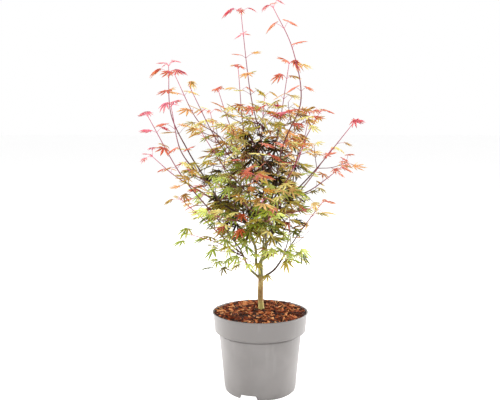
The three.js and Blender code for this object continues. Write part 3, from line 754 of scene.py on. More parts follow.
def drawLeaf(name, spread, droop, fold, broad, web, seed):
    draw = seeded(900 + seed)
    tips = [(-a, r) for a, r in reversed(leafShape["lobes"][1:])] + list(leafShape["lobes"])
    swing, stretch = leafShape["jitter"]
    tips = [(a * spread + swing * (draw() - 0.5), r * (1 + stretch * (draw() - 0.5))) for a, r in tips]
    half = leafShape["thickness"] / 2
    beyond, near = leafShape["foot"]
    neck, neckWidth, neckFold = leafShape["neck"]

    def sag(r):
        return -droop * r * r * (0.8 + 0.2 * r)

    def spot(angle, r, lift=0.0):
        a = math.radians(angle)
        return (r * math.cos(a), r * math.sin(a), sag(r) + lift)

    points, faces = [], []

    def put(point):
        points.append(point)
        return len(points) - 1

    first = put(spot(tips[0][0] - beyond, near))      # the outline is thin and shared by both sides
    last = put(spot(tips[-1][0] + beyond, near))
    heart = {side: put((0.02, 0, side * (half + leafShape["heartBulge"]))) for side in (1, -1)}
    notches = [first]
    for (a, ra), (b, rb) in zip(tips, tips[1:]):
        deep = leafShape["notch"] * web * (0.62 + 0.38 * min(ra, rb))
        notches.append(put(spot((a + b) / 2, deep)))
    notches.append(last)
    for i, (angle, reach) in enumerate(tips):
        curl = leafShape["curl"] * (draw() - 0.5)
        width = math.degrees(leafShape["lobeWidth"] * broad * (0.75 + 0.25 * reach) / leafShape["widest"])
        wide = reach * leafShape["widest"]
        narrow = reach * neck
        left, leftFar, right, rightFar = (
            put(point) for way in (-1, 1) for point in (
                spot(angle + way * width, wide, -fold * reach),
                spot(angle + way * width * neckWidth + curl * 0.5, narrow, -fold * reach * neckFold)))
        tip = put(spot(angle + curl, reach))
        for side in (1, -1):
            mid = put(spot(angle, wide * 0.95, side * half + leafShape["ridge"] * 0.5))
            far = put(spot(angle + curl * 0.4, narrow, side * half * 0.8 + leafShape["ridge"] * 0.3))
            loops = [
                (heart[side], notches[i], left, mid), (heart[side], mid, right, notches[i + 1]),
                (mid, left, leftFar, far), (mid, far, rightFar, right),
                (far, leftFar, tip), (far, tip, rightFar),
            ]
            for loop in loops:
                faces.append(loop if side > 0 else tuple(reversed(loop)))
    for side in (1, -1):
        closing = (heart[side], last, first)
        faces.append(closing if side > 0 else tuple(reversed(closing)))
    mesh = meshFrom(name, points, faces)
    faceOutward(mesh)
    return mesh


leafTints = {  # plain colours, a deeper and a lighter one
    "rose": ((170, 52, 76), (202, 96, 118)),
    "coral": ((174, 72, 54), (202, 110, 88)),
    "flame": ((190, 78, 38), (212, 114, 62)),
    "orange": ((178, 104, 44), (206, 144, 84)),
    "amber": ((180, 122, 28), (210, 166, 76)),
    "ochre": ((154, 108, 36), (208, 168, 100)),
    "rust": ((122, 70, 32), (172, 112, 60)),
    "bronze": ((100, 70, 22), (156, 120, 48)),
    "straw": ((148, 132, 42), (208, 194, 114)),
    "olive": ((90, 82, 20), (158, 146, 50)),
    "green": ((72, 88, 18), (150, 162, 66)),
    "lime": ((132, 150, 36), (194, 204, 104)),
    # moss is a dark green used mostly as painted shade; shade is painted shade only, near-black for the shadow deep
    # in the crown
    "moss": ((40, 42, 14), (86, 84, 28)),
    "shade": ((28, 22, 10), (48, 36, 16)),
}
# the dark tints: moss and shade, which paint shade, and rust
darkTints = ("moss", "shade", "rust")

tintRuns = {  # tints from a family's youngest leaves to its oldest, and those of the crown's inner zones; their moss and shade, most of all in the inner and lowInner runs, are painted shade of the crown's inside
    "rose": "rose coral ochre orange straw coral ochre straw coral olive moss shade",
    "orange": "coral ochre bronze orange straw rust olive ochre moss green shade",
    "olive": "ochre straw olive bronze green straw moss lime green shade",
    "green": "lime green lime straw green olive lime",
    "upper": "ochre orange straw ochre lime coral straw ochre rust olive",
    "core": "ochre rust orange straw bronze coral rust ochre olive shade",
    "heart": "straw lime straw lime ochre lime green straw moss shade",
    "inner": "green olive moss lime moss straw shade green olive shade",
    "low": "straw lime olive green lime straw green lime",
    "lowInner": "moss olive green moss bronze shade olive moss",
}

leafZones = {  # heights above the ground and depths, in millimetres
    "lowCrown": 322,            # leaves below this never take the painted shade of the dark tints
    "frontFace": -84,           # nor do those nearer than this, on the lit front
    "heartTop": 505,            # the heart of the crown ends here, under the reddened top
    "heartCrowd": 0.55,         # it is at least this crowded, and this share of its leaves has its tints
    "heartShare": 0.7,
    "depths": -42,              # behind this, and where more crowded than depthCrowd, the heart is mostly dark with painted shade
    "depthCrowd": 0.72,
    "depthsTop": 455,           # but above this only its core has that painted shade
    "core": (8, 42),            # the core's middle and half width
    "coreFoot": 432,            # the heart's face is green below this, brown and orange above
    "aging": (0.92, 3, 0.6),    # share of a run that age goes through, and tints added, as painted shade toward the run's darker end, where more crowded than the last
    "mixed": (2.6, 5.6),        # how far neighbouring tints mix at the outskirts and in the heart
    "lowDepths": (385, -48, 0.2),      # painted shade: the low crown is dark inside, below, behind and at least this crowded
}

turnedSprays = (  # sprays of another tint: middle, reach, tint, how much larger their leaves are if they are; the shade and moss sprays are painted shade in the crown's dark hollows
    (14, -44, 508, 24, "shade"), (34, -40, 500, 20, "shade"), (30, -90, 482, 30, "coral", 1.15),
    (-34, -90, 474, 18, "coral"), (-50, -108, 352, 26, "flame", 1.1), (106, -60, 398, 26, "flame"),
    (3, -125, 408, 25, "amber", 1.35), (54, -90, 429, 26, "ochre", 1.15), (74, -60, 508, 30, "orange", 1.2),
    (40, -60, 474, 20, "ochre"), (32, -52, 508, 16, "rust"), (-4, -14, 500, 30, "shade"),
    (26, -14, 508, 26, "shade"), (-6, -52, 498, 20, "shade"), (-8, 34, 512, 24, "shade"),
    (18, -84, 506, 14, "rust"), (-98, -20, 414, 27, "shade"), (0, -34, 372, 27, "moss"),
    (82, -20, 424, 23, "olive"), (-88, -24, 350, 24, "bronze"), (-96, -20, 484, 28, "ochre"),
    (-74, -50, 512, 26, "straw"), (-56, -56, 478, 20, "lime"), (-40, -60, 506, 18, "orange"),
    (-2, -104, 438, 20, "ochre"), (46, -74, 724, 24, "flame", 1.5), (-22, -6, 686, 20, "amber", 1.4),
    (-62, -56, 300, 28, "lime", 1.25), (-130, -60, 330, 34, "lime", 1.2), (-150, -40, 316, 26, "lime"),
    (30, -60, 554, 24, "rose", 1.1), (46, -16, 558, 24, "rose"), (102, -40, 530, 26, "rose"),
    (-72, -40, 585, 26, "rose"), (8, -30, 566, 22, "coral"), (-46, -66, 268, 20, "olive", 1.2),
    (-12, -56, 422, 26, "green"), (24, -54, 442, 22, "olive"), (30, -72, 402, 20, "moss"),
    (34, -44, 352, 25, "moss"), (66, -50, 374, 20, "olive"),
)
singleTurns = {  # single leaves of another tint, past a certain age
    "share": 0.06, "age": 0.3, "tints": ("amber", "coral", "amber", "orange")}


def sprayAt(point):
    for x, y, z, reach, tint, *larger in turnedSprays:
        if (point - Vector((x, y, z))).length < reach:
            return tint, *(larger or [1.0])
    return None, 1.0


def tintOf(leaf):
    middle = leaf["base"] + leaf["midrib"] * leaf["length"] * 0.5
    tint = sprayAt(middle)[0]
    if tint:
        return tint
    turned = (leaf["tone"] * 137) % 1 < singleTurns["share"]
    if turned and leaf["age"] > singleTurns["age"] and leaf["family"] != "green":
        return singleTurns["tints"][int(leaf["pick"] * len(singleTurns["tints"]))]
    run = leaf["family"]
    core, half = leafZones["core"]
    inside = leaf["crowd"] > leafZones["heartCrowd"] and middle.z < leafZones["heartTop"]
    if inside and leaf["pick"] < leafZones["heartShare"]:
        # deep in the heart the inner run's dark tints are painted shade
        deep = leaf["crowd"] > leafZones["depthCrowd"] and middle.y > leafZones["depths"]
        upper = middle.z > leafZones["depthsTop"] and abs(middle.x - core) > half
        run = "upper" if upper else "inner" if deep else "core" if middle.z > leafZones["coreFoot"] else "heart"
    # painted shade: inside the low crown, the dark lowInner run
    below, behind, crowded = leafZones["lowDepths"]
    if leafZones["lowCrown"] < middle.z < below and middle.y > behind and leaf["crowd"] > crowded:
        run = "lowInner"
    tints = tintRuns[run].split()
    mixed = leafZones["mixed"][1 if inside else 0]
    # the crowd term moves crowded leaves on to darker tints: painted shade
    span, paintedShadeStep, free = leafZones["aging"]
    place = leaf["age"] * len(tints) * span + (leaf["tone"] - 0.5) * mixed + paintedShadeStep * max(0, leaf["crowd"] - free)
    tint = tints[max(0, min(len(tints) - 1, int(place)))]
    # the painted shade of the dark tints is lifted off the low skirt and the lit front; low bronze and ochre take
    # the low run too
    low = middle.z < leafZones["lowCrown"]
    if (low or middle.y < leafZones["frontFace"]) and tint in darkTints or low and tint in ("bronze", "ochre"):
        tints = tintRuns["low"].split()
        tint = tints[int(leaf["tone"] * len(tints))]
    # and off the upper left, where dark tints and olive turn ochre or straw
    if middle.z > leafZones["depthsTop"] and middle.x < core - half and tint in (*darkTints, "olive"):
        tint = "ochre" if leaf["tone"] < 0.5 else "straw"
    return tint


leafSkin = {"gloss": 0.16, "darkGloss": 0.02, "glow": 0.35, "glowTint": (1.0, 0.7, 0.35), "glowDepth": 0.0012,
            "veinScale": 420.0, "relief": (0.25, 0.0004)}


def leafMaterial(name, colour, gloss):
    material, tree, shader = newMaterial(
        name, Roughness=0.46, Base_Color=srgb(*colour), Specular_IOR_Level=gloss, Subsurface_Weight=leafSkin["glow"],
        Subsurface_Radius=leafSkin["glowTint"], Subsurface_Scale=leafSkin["glowDepth"])
    veins = tree.cloud(tree.place(), leafSkin["veinScale"], 3.0)
    feed(tree, shader, "Roughness", 0.38 + veins * 0.2)
    feedRelief(tree, shader, leafSkin["relief"], veins)
    return material


def leafTree():
    tree, build, source = newGeometryTree("dealOutLeaves", [
        ("Leaf shapes", "Collection", None), ("Leaf skin", "Material", None), ("Size", "Float", 1.0)])
    dealt = build.add("InstanceOnPoints", None, {
        "Points": source.out("Geometry"), "Instance": build.shapes(source.out("Leaf shapes")),
        "Pick Instance": True, "Instance Index": build.named("INT", "kind"),
        "Rotation": build.named("FLOAT_VECTOR", "turn"),
        "Scale": build.named("FLOAT", "reach") * source.out("Size")}).out()
    endTree(build, dealt, source.out("Leaf skin"))
    return tree


def turnOf(leaf):  # turns the drawn leaf's own axes to midrib, side and face
    side = leaf["normal"].cross(leaf["midrib"]).normalized()
    return Matrix((leaf["midrib"], side, leaf["normal"])).transposed().to_euler("XYZ")


kindDeal = {                    # which rows of leafKinds are dealt out
    "green": (1, 7, 8, 7),
    "young": (3, 3.3),          # first row and how many on from it, the last one seldom
    "youngAge": 0.12,
    "other": 4,                 # the first rows
}


def kindOf(leaf):
    if leaf["family"] == "green":
        return kindDeal["green"][int(leaf["pick"] * len(kindDeal["green"]))]
    if leaf["age"] < kindDeal["youngAge"]:
        first, span = kindDeal["young"]
        return first + int(leaf["pick"] * span)
    return int(leaf["pick"] * kindDeal["other"])


def makeLeaves(plant):
    shapes = gather("leafShape", [drawLeaf("leafShape", *kind) for kind in leafKinds])
    tree = leafTree()
    byTint = {}
    for leaf in plant.leaves:
        half = int(leaf["tone"] * 7919) % 2
        byTint.setdefault((tintOf(leaf), half), []).append(leaf)
    pieces = {}
    for (tint, half), leaves in sorted(byTint.items()):
        points = meshFrom("places", [leaf["base"] * mm for leaf in leaves], [])
        giveValues(points, "turn", "FLOAT_VECTOR", [c for leaf in leaves for c in turnOf(leaf)])
        giveValues(points, "kind", "INT", [kindOf(leaf) for leaf in leaves])
        giveValues(points, "reach", "FLOAT", [leaf["length"] * mm for leaf in leaves])
        name = "leaves_%s_%s" % (tint, "light" if half else "deep")
        piece = newObject(name, points)
        gloss = leafSkin["darkGloss" if tint in darkTints else "gloss"]
        skin = leafMaterial(name + "_skin", leafTints[tint][half], gloss)
        runTree(piece, tree, **{"Leaf shapes": shapes, "Leaf skin": skin, "Size": 1.0})
        pieces[name] = piece
        print(name, len(leaves), "leaves,", len(piece.data.polygons), "faces")
    return pieces


# Stems, twigs and petioles: lines that Geometry Nodes sweep a round section along

stemShape = {"sides": 7, "youth": (0.1, 0.8, 1.3)}     # a shoot's youth at its foot, how much it gains, how late
stemSkin = {
    "colours": ((0.0, (72, 52, 40)), (0.28, (94, 54, 48)), (0.5, (124, 58, 68)), (0.78, (158, 62, 88)),
                (1.0, (206, 86, 110))),        # from old to young
    "grainScale": 260.0, "grainShare": 0.3, "relief": (0.4, 0.0003),
}


def sweepTree():
    tree, build, source = newGeometryTree("sweepStems", [
        ("Sides", "Int", 6), ("Bark", "Material", None)])
    radius = build.named("FLOAT", "girth")
    curve = build.add("MeshToCurve", None, {"Mesh": source.out("Geometry")}).out()
    sized = build.add("SetCurveRadius", None, {"Curve": curve, "Radius": radius}).out()
    section = build.add("CurvePrimitiveCircle", None, {"Resolution": source.out("Sides"), "Radius": 1.0}).out()
    swept = build.add("CurveToMesh", None, {
        "Curve": sized, "Profile Curve": section, "Scale": radius, "Fill Caps": True}).out()
    smooth = build.add("SetShadeSmooth", None, {"Geometry": swept}).out()
    endTree(build, smooth, source.out("Bark"))
    return tree


def twigMaterial():
    material, tree, shader = newMaterial("twigBark", Roughness=0.5, Specular_IOR_Level=0.2)
    youth = tree.add("Attribute", {"attribute_name": "youth"}).out("Fac")
    grain = tree.cloud(tree.place(), stemSkin["grainScale"], 4.0)
    colour = tree.ramp(youth + (grain - 0.5) * stemSkin["grainShare"], *stemSkin["colours"])
    feed(tree, shader, "Base Color", colour)
    feed(tree, shader, "Roughness", 0.42 + grain * 0.25)
    feedRelief(tree, shader, stemSkin["relief"], grain)
    return material


def makeTwigs(plant):
    points, edges, girth, youth = [], [], [], []
    foot, gain, late = stemShape["youth"]
    for line, radii, young in plant.lines:
        for i, point in enumerate(line):
            if i:
                edges.append((len(points) - 1, len(points)))
            points.append(tuple(point * mm))
            girth.append(radii[i] * mm)
            youth.append(young if young is not None else foot + gain * (i / (len(line) - 1)) ** late)
    mesh = bpy.data.meshes.new("stemLines")
    mesh.from_pydata(points, edges, [])
    giveValues(mesh, "girth", "FLOAT", girth)
    giveValues(mesh, "youth", "FLOAT", youth)
    piece = newObject("twigs", mesh)
    runTree(piece, sweepTree(), Sides=stemShape["sides"], Bark=twigMaterial())
    print("twigs", len(plant.lines), "lines,", len(piece.data.polygons), "faces")
    return piece


# Trunk and boughs: one skin grown over all limbs, with bark relief

barkShape = {
    "voxel": 0.6, "sides": 12, "ring": 2.5, "relief": 0.22, "smoothing": (4, 0.5),
    "knot": 0.11, "knotStep": 19, "knotPlace": 9, "knotLength": 1.6, "knotShift": 5.3,
    "fluting": (0.12, 4),       # depth and number of the trunk's flutes at its flare
    "grain": (900, 900, 130),   # how fine the relief is across and along
    "lumps": (160, 160, 160),
    "grainShare": 0.6,
}
barkSkin = {  # heights in metres
    "tan": ((0.3, (92, 60, 34)), (0.42, (130, 94, 54)), (0.55, (164, 140, 86)), (0.72, (206, 190, 130))),
    "olive": ((0.3, (92, 88, 52)), (0.55, (122, 118, 74)), (0.8, (150, 144, 98))),
    # painted shade: the dark ramp stands for the shadow on the boughs inside the crown
    "dark": ((0.3, (48, 36, 28)), (0.55, (74, 54, 42)), (0.8, (104, 80, 58))),
    "belly": (112, 78, 46), "bellyFrom": (0.188, 0.195), "bellyTo": (0.205, 0.214), "bellyShare": 0.5,
    "foot": (196, 190, 112), "footTo": (0.177, 0.189), "footShare": 0.55,
    "oliveFrom": (0.222, 0.245),
    "paintedShadeFrom": (0.29, 0.37),
    "aside": (0.009, 0.02), "asideTo": (0.30, 0.34),    # the lower boughs on the right take the painted shade sooner
    "dot": (206, 192, 150), "dotSize": (0.04, 0.16), "dotShare": 0.3,
    "stretch": 0.16, "relief": (0.55, 0.0006),
}


def radiusAt(name, limb, phase, distance, angle):
    length = limb["curve"].length
    if name == "trunk":
        radii = trunkShape["radii"]
        span = distance / length * (len(radii) - 1)
        k = min(int(span), len(radii) - 2)
        base = radii[k] + (radii[k + 1] - radii[k]) * (span - k)
        flare = math.exp(-distance / trunkShape["flareHeight"])
        depth, flutes = barkShape["fluting"]
        return (base + trunkShape["flare"] * flare) * (1 + depth * flare * math.cos(flutes * angle))
    foot, tip = limb["radii"]
    past = (distance + phase) % barkShape["knotStep"] - barkShape["knotPlace"]
    knot = math.exp(-(past / barkShape["knotLength"]) ** 2)
    return (foot + (tip - foot) * distance / length) * (1 + barkShape["knot"] * knot)


def limbTube(name, limb, phase):
    curve = limb["curve"]
    count = max(6, int(curve.length / barkShape["ring"]))
    sides = barkShape["sides"]
    points = []
    side = None
    for i in range(count + 1):
        distance = curve.length * i / count
        at, tangent = curve.at(distance), curve.heading(distance)
        if side is None:
            side = Vector((1, 0, 0)).cross(tangent)
        side = (side - tangent * side.dot(tangent)).normalized()
        other = tangent.cross(side)
        for k in range(sides):
            angle = 2 * math.pi * k / sides
            r = radiusAt(name, limb, phase, distance, angle)
            points.append((at + side * r * math.cos(angle) + other * r * math.sin(angle)) * mm)
    ends = [tuple(reversed(range(sides))), tuple(range(count * sides, (count + 1) * sides))]
    return points, [*bands(count, sides), *ends]


def barkMaterial():
    b = barkSkin
    material, tree, shader = newMaterial("youngBark", Roughness=0.6, Specular_IOR_Level=0.25)
    place = tree.place()
    grain = tree.cloud(tree.stretched(place, b["stretch"]), 900.0, 6.0)
    patches = tree.cloud(place, 110.0, 3.0)
    spot = tree.add("SeparateXYZ", None, {"Vector": place})
    height = spot.out("Z")
    aside = spot.out("X").fade(*b["aside"]) * (1 - height.fade(*b["asideTo"]))
    tan = tree.ramp(grain * 0.4 + patches * 0.6, *b["tan"])
    belly = height.fade(*b["bellyFrom"]) * (1 - height.fade(*b["bellyTo"])) * patches.fade(0.35, 0.6)
    tan = tree.mixColour(belly * b["bellyShare"], tan, b["belly"])
    tan = tree.mixColour((1 - height.fade(*b["footTo"])) * b["footShare"], tan, b["foot"])
    mottle = grain * 0.5 + patches * 0.5
    skin = tree.mixColour(height.fade(*b["oliveFrom"]), tan, tree.ramp(mottle, *b["olive"]))
    # painted shade: boughs high in the crown, and the lower right ones, take the dark ramp
    high = height.fade(*b["paintedShadeFrom"])
    skin = tree.mixColour(high.sum("MAXIMUM", high, aside), skin, tree.ramp(mottle, *b["dark"]))
    dots = 1 - tree.cells(place, 420.0).fade(*b["dotSize"])
    feed(tree, shader, "Base Color", tree.mixColour(dots * b["dotShare"], skin, b["dot"]))
    feed(tree, shader, "Roughness", 0.5 + grain * 0.25)
    feedRelief(tree, shader, b["relief"], grain + dots * 0.4)
    return material


def carveRelief(mesh):
    spots = np.zeros(len(mesh.vertices) * 3)
    normals = np.zeros(len(mesh.vertices) * 3)
    mesh.vertices.foreach_get("co", spots)
    mesh.vertex_normals.foreach_get("vector", normals)
    spots, normals = spots.reshape(-1, 3), normals.reshape(-1, 3)
    grain, lumps = ([noise.noise(Vector(spot * barkShape[kind])) for spot in spots] for kind in ("grain", "lumps"))
    depth = np.array(grain) * barkShape["grainShare"] + np.array(lumps)
    spots += normals * depth[:, None] * barkShape["relief"] * mm
    spots[:, 2] = np.maximum(spots[:, 2], trunkShape["path"][0][2] * mm)
    mesh.vertices.foreach_set("co", spots.ravel())
    mesh.update()


def makeBark(limbs):
    points, faces = [], []
    for index, (name, limb) in enumerate(limbs.items()):
        these, loops = limbTube(name, limb, index * barkShape["knotShift"])
        faces += [tuple(i + len(points) for i in loop) for loop in loops]
        points += these
    piece = newObject("bark", meshFrom("bark", points, faces))
    remesh = piece.modifiers.new("oneSkin", "REMESH")
    remesh.mode = "VOXEL"
    remesh.voxel_size = barkShape["voxel"] * mm
    smooth = piece.modifiers.new("smooth", "SMOOTH")
    smooth.iterations, smooth.factor = barkShape["smoothing"]
    bake(piece)
    mesh = piece.data
    carveRelief(mesh)
    shadeSmooth(mesh)
    dress(mesh, barkMaterial())
    print("bark", len(mesh.polygons), "faces")
    return piece


# Pot: a turned profile with eased edges, notched and drilled like the solid

potShape = {  # millimetres
    "outer": [  # radius and height, from the middle of the underside: hub, drain, foot ring, body, groove, band, rim
        (0, 0), (44, 0), (47, 12), (59.6, 12), (62.6, 0), (65.4, 0), (69.4, 3), (72.1, 13), (82.6, 118.8),
        (81.2, 120), (81.2, 121.4), (87, 123.6), (90.2, 124.8), (91.2, 126), (94.2, 160), (96, 161), (96, 164)],
    "inner": [(93.4, 164), (92.2, 158), (89.2, 126.7), (85, 125.1), (80.6, 123.3), (70.1, 17), (65.4, 14), (45, 14),
              (42, 2), (0, 2)],
    "ease": 2.4, "sharp": 32, "segments": 144,
    "holes": 6, "holeRadius": 5, "holeRing": 54, "holeZ": 13,
    "notches": 3, "notchWidth": 33, "notchHeight": 10.5, "notchSlant": 3.5, "notchAngle": -110.7,
    "notchReach": (54, 74),
}
potSkin = {
    "greys": ((120, 116, 114), (128, 124, 122)),
    # painted shade: the band is a darker grey, to offset the light it catches from above
    "band": (118, 114, 112), "bandFrom": (0.119, 0.124),
    "scuff": (143, 140, 138), "scuffShare": 0.35,
    "stretch": 0.12, "relief": (0.12, 0.0002),
}


def turned(name, profile, segments):  # closed body of revolution from a profile that starts and ends on the axis
    rings = profile[1:-1]
    points = [(x * mm, y * mm, z * mm) for r, z in rings for x, y in ring(r, segments)]
    faces = list(bands(len(rings) - 1, segments))
    for row, (_, z) in ((0, profile[0]), (len(rings) - 1, profile[-1])):
        points.append((0, 0, z * mm))
        centre = len(points) - 1
        for k in range(segments):
            a, b = row * segments + k, row * segments + (k + 1) % segments
            faces.append((b, a, centre) if row == 0 else (a, b, centre))
    mesh = meshFrom(name, points, faces)
    faceOutward(mesh)
    return mesh


def rounded(profile, radius, steps=3):  # a profile with its corners eased
    eased = [profile[0]]
    for a, b, c in zip(profile, profile[1:], profile[2:]):
        a, b, c = Vector(a), Vector(b), Vector(c)
        cut = min(radius, (a - b).length * 0.45, (c - b).length * 0.45)
        start, end = b + (a - b).normalized() * cut, b + (c - b).normalized() * cut
        for i in range(steps + 1):
            t = i / steps
            eased.append(tuple(start * (1 - t) ** 2 + b * 2 * t * (1 - t) + end * t * t))
    return eased + [profile[-1]]


def potMaterial():
    material, tree, shader = newMaterial("greyPlastic", Roughness=0.42)
    place = tree.place()
    cloud = tree.cloud(place, 14.0, 3.0)
    fine = tree.cloud(place, 900.0, 2.0)
    scuffs = tree.cloud(tree.stretched(place, potSkin["stretch"]), 70.0, 5.0)
    height = tree.add("SeparateXYZ", None, {"Vector": place}).out("Z")
    grey = tree.mixColour(cloud.fade(0.35, 0.65), *potSkin["greys"])
    # painted shade: a darker grey above the groove, on the band
    grey = tree.mixColour(height.fade(*potSkin["bandFrom"]), grey, potSkin["band"])
    grey = tree.mixColour(scuffs.fade(0.56, 0.8) * potSkin["scuffShare"], grey, potSkin["scuff"])
    feed(tree, shader, "Base Color", grey)
    feed(tree, shader, "Roughness", 0.36 + cloud * 0.12 + scuffs * 0.1)
    feedRelief(tree, shader, potSkin["relief"], fine + scuffs * 0.6)
    return material


def makePot():
    p = potShape
    pot = newObject("pot_shell", turned("pot_shell", rounded(p["outer"] + p["inner"], p["ease"]), p["segments"]))
    cutters = []
    for i in range(p["holes"]):
        angle = 2 * math.pi * (i + 0.5) / p["holes"]
        x, y = p["holeRing"] * math.cos(angle), p["holeRing"] * math.sin(angle)
        cutter = turned("hole", [(0, -6), (p["holeRadius"], -6), (p["holeRadius"], 6), (0, 6)], 24)
        cutter.transform(Matrix.Translation((x * mm, y * mm, p["holeZ"] * mm)))
        cutters.append(cutter)
    for i in range(p["notches"]):
        half, slant, high = p["notchWidth"] / 2, p["notchSlant"], p["notchHeight"]
        section = [(-half - slant, -2), (half + slant, -2), (half, high), (-half, high)]
        loops = [(r * mm, y * mm, z * mm) for r in p["notchReach"] for y, z in section]
        faces = [(0, 1, 2, 3), (7, 6, 5, 4)] + [(k, k + 4, (k + 1) % 4 + 4, (k + 1) % 4) for k in range(4)]
        cutter = meshFrom("notch", loops, faces, smooth=False)
        faceOutward(cutter)
        turn = math.radians(p["notchAngle"] + 360 * i / p["notches"])
        cutter.transform(Matrix.Rotation(turn, 4, "Z"))
        cutters.append(cutter)
    tools = gather("potCutter", cutters)
    cut = pot.modifiers.new("cuts", "BOOLEAN")
    cut.operand_type = "COLLECTION"
    cut.collection = tools
    cut.solver = "EXACT"
    bake(pot)
    for thing in list(tools.objects):
        bpy.data.objects.remove(thing)
    dress(pot.data, potMaterial())
    shadeSmooth(pot.data)
    pot.data.set_sharp_from_angle(angle=math.radians(p["sharp"]))
    print("pot", len(pot.data.polygons), "faces")
    return pot


# Mulch: a dark bed, partly painted shade between the chips, with loose bark chips strewn over it

mulchShape = {
    "edge": 92.0, "edgeZ": 160.6, "crownZ": 168.0, "backRise": 1.4, "segments": 120, "rings": 40, "lump": 1.8,
    "chipDensity": 26000.0, "chipSeed": 5, "chipKinds": 12, "chipTilt": 0.46, "chipHalf": 9.0,
    "chipRings": (14, 48), "chipLift": 0.6, "chipSizes": (0.5, 1.15),
    "body": [(0, 2.4), (41.6, 2.4), (44.7, 14.4), (65.0, 14.4), (69.4, 17.6), (79.9, 124.0), (84.4, 125.8),
             (88.4, 127.6)],    # outline of the fill below the bed, just inside the pot's wall
}

chipShape = {  # least length, breadth and thickness of a chip, and how much more each may be
    "sliver": ((8, 4), (1.2, 1.0)),
    "flake": ((5, 4), (2.4, 2.2)),
    "thickness": (0.7, 1.0),
    "bow": (1.2, 0.3),          # how far it bows, and how much of that is downward
    "corners": 8,
}
chipTones = ((26, 8, 4), (62, 21, 9), (108, 44, 19), (144, 66, 30), (180, 98, 52), (230, 166, 110))
chipSkin = {"pale": (226, 160, 106), "paleShare": 0.35, "dark": (36, 14, 8), "darkShare": 0.5,
            "relief": (0.8, 0.0008)}
# the bed's browns are partly the fill's own colour and partly painted shade, near-black for the gaps between the
# chips
bedSkin = {"browns": ((0.2, (24, 13, 9)), (0.5, (44, 24, 16)), (0.8, (86, 46, 28))), "relief": (0.9, 0.002)}


def bedHeight(x, y):  # millimetres
    share = min(1.0, math.hypot(x, y) / mulchShape["edge"])
    mound = mulchShape["edgeZ"] + (mulchShape["crownZ"] - mulchShape["edgeZ"]) * math.cos(share * math.pi / 2)
    mound += mulchShape["backRise"] * y / mulchShape["edge"]
    return mound + mulchShape["lump"] * noise.noise(Vector((x * 0.09, y * 0.09, 3.0)))


def bedMaterial():
    material, tree, shader = newMaterial("darkBed", Roughness=0.95)
    crumbs, cloud = tree.cells(tree.place(), 420.0), tree.cloud(tree.place(), 300.0, 5.0)
    feed(tree, shader, "Base Color", tree.ramp(crumbs * 0.5 + cloud * 0.6, *bedSkin["browns"]))
    feedRelief(tree, shader, bedSkin["relief"], cloud + crumbs)
    return material


def makeBed():
    m = mulchShape
    top = [(m["edge"] * (1 - i / m["rings"]), m["edgeZ"]) for i in range(m["rings"] + 1)]
    mesh = turned("mulch_bed", m["body"] + top, m["segments"])
    for vertex in mesh.vertices:
        if vertex.co.z > (m["edgeZ"] - 1) * mm:
            vertex.co.z = bedHeight(vertex.co.x / mm, vertex.co.y / mm) * mm
    dress(mesh, bedMaterial())
    return newObject("mulch_bed", mesh)


def drawChip(name, seed):
    draw = seeded(300 + seed)
    sizes = (*chipShape["flake" if seed % 2 else "sliver"], chipShape["thickness"])
    long, broad, thick = (least + more * draw() for least, more in sizes)
    most, downward = chipShape["bow"]
    bow = most * (draw() - downward)
    count = chipShape["corners"]
    outline = []
    for k in range(count):
        a = 2 * math.pi * (k + 0.5 * draw()) / count
        outline.append((long * math.cos(a) * (0.75 + 0.35 * draw()), broad * math.sin(a) * (0.6 + 0.6 * draw())))
    points = [(x, y, thick * (0.4 + 0.6 * draw()) + bow * (x / long) ** 2) for x, y in outline]
    points += [(x * 0.9, y * 0.85, bow * (x / long) ** 2 - thick * (0.4 + 0.5 * draw())) for x, y in outline]
    points += [(0, 0, thick * 1.2), (0, 0, -thick)]
    faces = []
    for k in range(count):
        j = (k + 1) % count
        faces.append((k, k + count, j + count, j))
        faces.append((k, j, 2 * count))
        faces.append((j + count, k + count, 2 * count + 1))
    mesh = meshFrom(name, [(x * mm, y * mm, z * mm) for x, y, z in points], faces, smooth=False)
    faceOutward(mesh)
    return mesh


def chipMaterial():
    material, tree, shader = newMaterial("barkChips", Roughness=0.8, Specular_IOR_Level=0.15)
    tone = tree.add("Attribute", {"attribute_name": "tone"}).out("Fac")
    grain = tree.cloud(tree.place(), 520.0, 6.0)
    patches = tree.cloud(tree.place(), 130.0, 2.0)
    stops = [(0.02 + 0.19 * i, colour) for i, colour in enumerate(chipTones)]
    wood = tree.ramp(tone + (patches - 0.5) * 0.3, *stops)
    wood = tree.mixColour(grain.fade(0.52, 0.78) * chipSkin["paleShare"], wood, chipSkin["pale"])
    wood = tree.mixColour((1 - grain.fade(0.3, 0.46)) * chipSkin["darkShare"], wood, chipSkin["dark"])
    feed(tree, shader, "Base Color", wood)
    feed(tree, shader, "Roughness", 0.62 + grain * 0.3)
    feedRelief(tree, shader, chipSkin["relief"], grain)
    return material


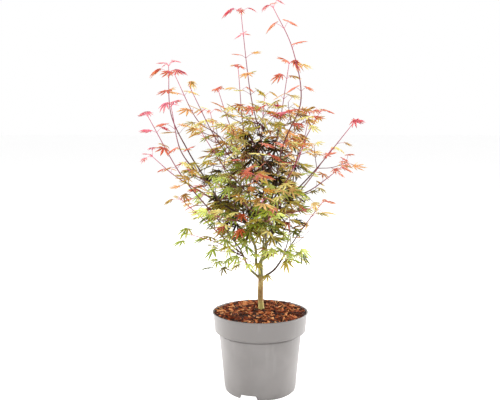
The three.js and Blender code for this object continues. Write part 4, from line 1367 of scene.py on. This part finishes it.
def chipTree():
    tree, build, source = newGeometryTree("strewChips", [
        ("Chip shapes", "Collection", None), ("Bark skin", "Material", None), ("Density", "Float", 30000.0),
        ("Seed", "Int", 1), ("Tilt", "Float", 0.5), ("Smallest", "Float", 0.5), ("Largest", "Float", 1.0),
        ("Wall radius", "Float", 0.09), ("Chip half length", "Float", 0.008)])
    spread = build.add("DistributePointsOnFaces", None, {
        "Mesh": source.out("Geometry"), "Density": source.out("Density"), "Seed": source.out("Seed")})
    tilt = source.out("Tilt")
    halfTurn = 3.14
    low = build.add("CombineXYZ", None, {"X": tilt * -1.0, "Y": tilt * -1.0, "Z": -halfTurn}).out()
    high = build.add("CombineXYZ", None, {"X": tilt, "Y": tilt, "Z": halfTurn}).out()
    turn = build.add("RandomValue", {"data_type": "FLOAT_VECTOR"}, {"Min": low, "Max": high, "Seed": 3}).out(0)
    size = build.add("RandomValue", {"data_type": "FLOAT"}, {
        2: source.out("Smallest"), 3: source.out("Largest"), "Seed": 8}).out(1)
    place = build.add("InputPosition").out()
    level = build.add("VectorMath", {"operation": "MULTIPLY"}, {0: place, 1: (1, 1, 0)}).out()
    away = build.add("VectorMath", {"operation": "LENGTH"}, {0: level}).out("Value")
    room = (source.out("Wall radius") - away) / source.out("Chip half length")
    size = size.sum("MINIMUM", size, room)
    laid = build.add("InstanceOnPoints", None, {
        "Points": spread.out("Points"), "Instance": build.shapes(source.out("Chip shapes")),
        "Pick Instance": True, "Rotation": turn, "Scale": size}).out()
    tone = build.add("RandomValue", {"data_type": "FLOAT"}, {2: 0.0, 3: 1.0, "Seed": 21}).out(1)
    toned = build.add("StoreNamedAttribute", {"data_type": "FLOAT", "domain": "INSTANCE"}, {
        "Geometry": laid, "Name": "tone", "Value": tone}).out()
    endTree(build, toned, source.out("Bark skin"))
    return tree


def makeChips():
    m = mulchShape
    shapes = gather("chip", [drawChip("chip", i) for i in range(m["chipKinds"])])
    points = []
    rings, around = m["chipRings"]
    for i in range(rings + 1):      # from 3 mm off the trunk's axis to 3 mm off the edge
        for x, y in ring(3 + (m["edge"] - 6) * i / rings, around):
            points.append((x * mm, y * mm, (bedHeight(x, y) + m["chipLift"]) * mm))
    faces = [(a, d, c, b) for a, b, c, d in bands(rings, around)]
    chips = newObject("bark_chips", meshFrom("bark_chips", points, faces))
    smallest, largest = m["chipSizes"]
    runTree(chips, chipTree(), **{
        "Chip shapes": shapes, "Bark skin": chipMaterial(), "Density": m["chipDensity"], "Seed": m["chipSeed"],
        "Tilt": m["chipTilt"], "Smallest": smallest, "Largest": largest, "Wall radius": m["edge"] * mm,
        "Chip half length": m["chipHalf"] * mm})
    print("chips", len(chips.data.polygons), "faces")
    return chips


setStage()
limbs, stems = growLimbs()
plant = Plant()
for index, name in enumerate(stems):
    growShoot(plant, name, stems, index)
growSpurs(plant, limbs, stems)
print("grown", len(plant.leaves), "leaves on", len(plant.lines), "lines")

leafPieces = makeLeaves(plant)
settle(makeTwigs(plant), [])
settle(makeBark(limbs), list(limbs))
settle(makePot(), ["pot"])
settle(makeBed(), ["mulch"])
settle(makeChips(), [])

for number, (name, piece) in enumerate(sorted(leafPieces.items())):     # the first piece stands for all the masses
    settle(piece, list(stems) if number == 0 else [])
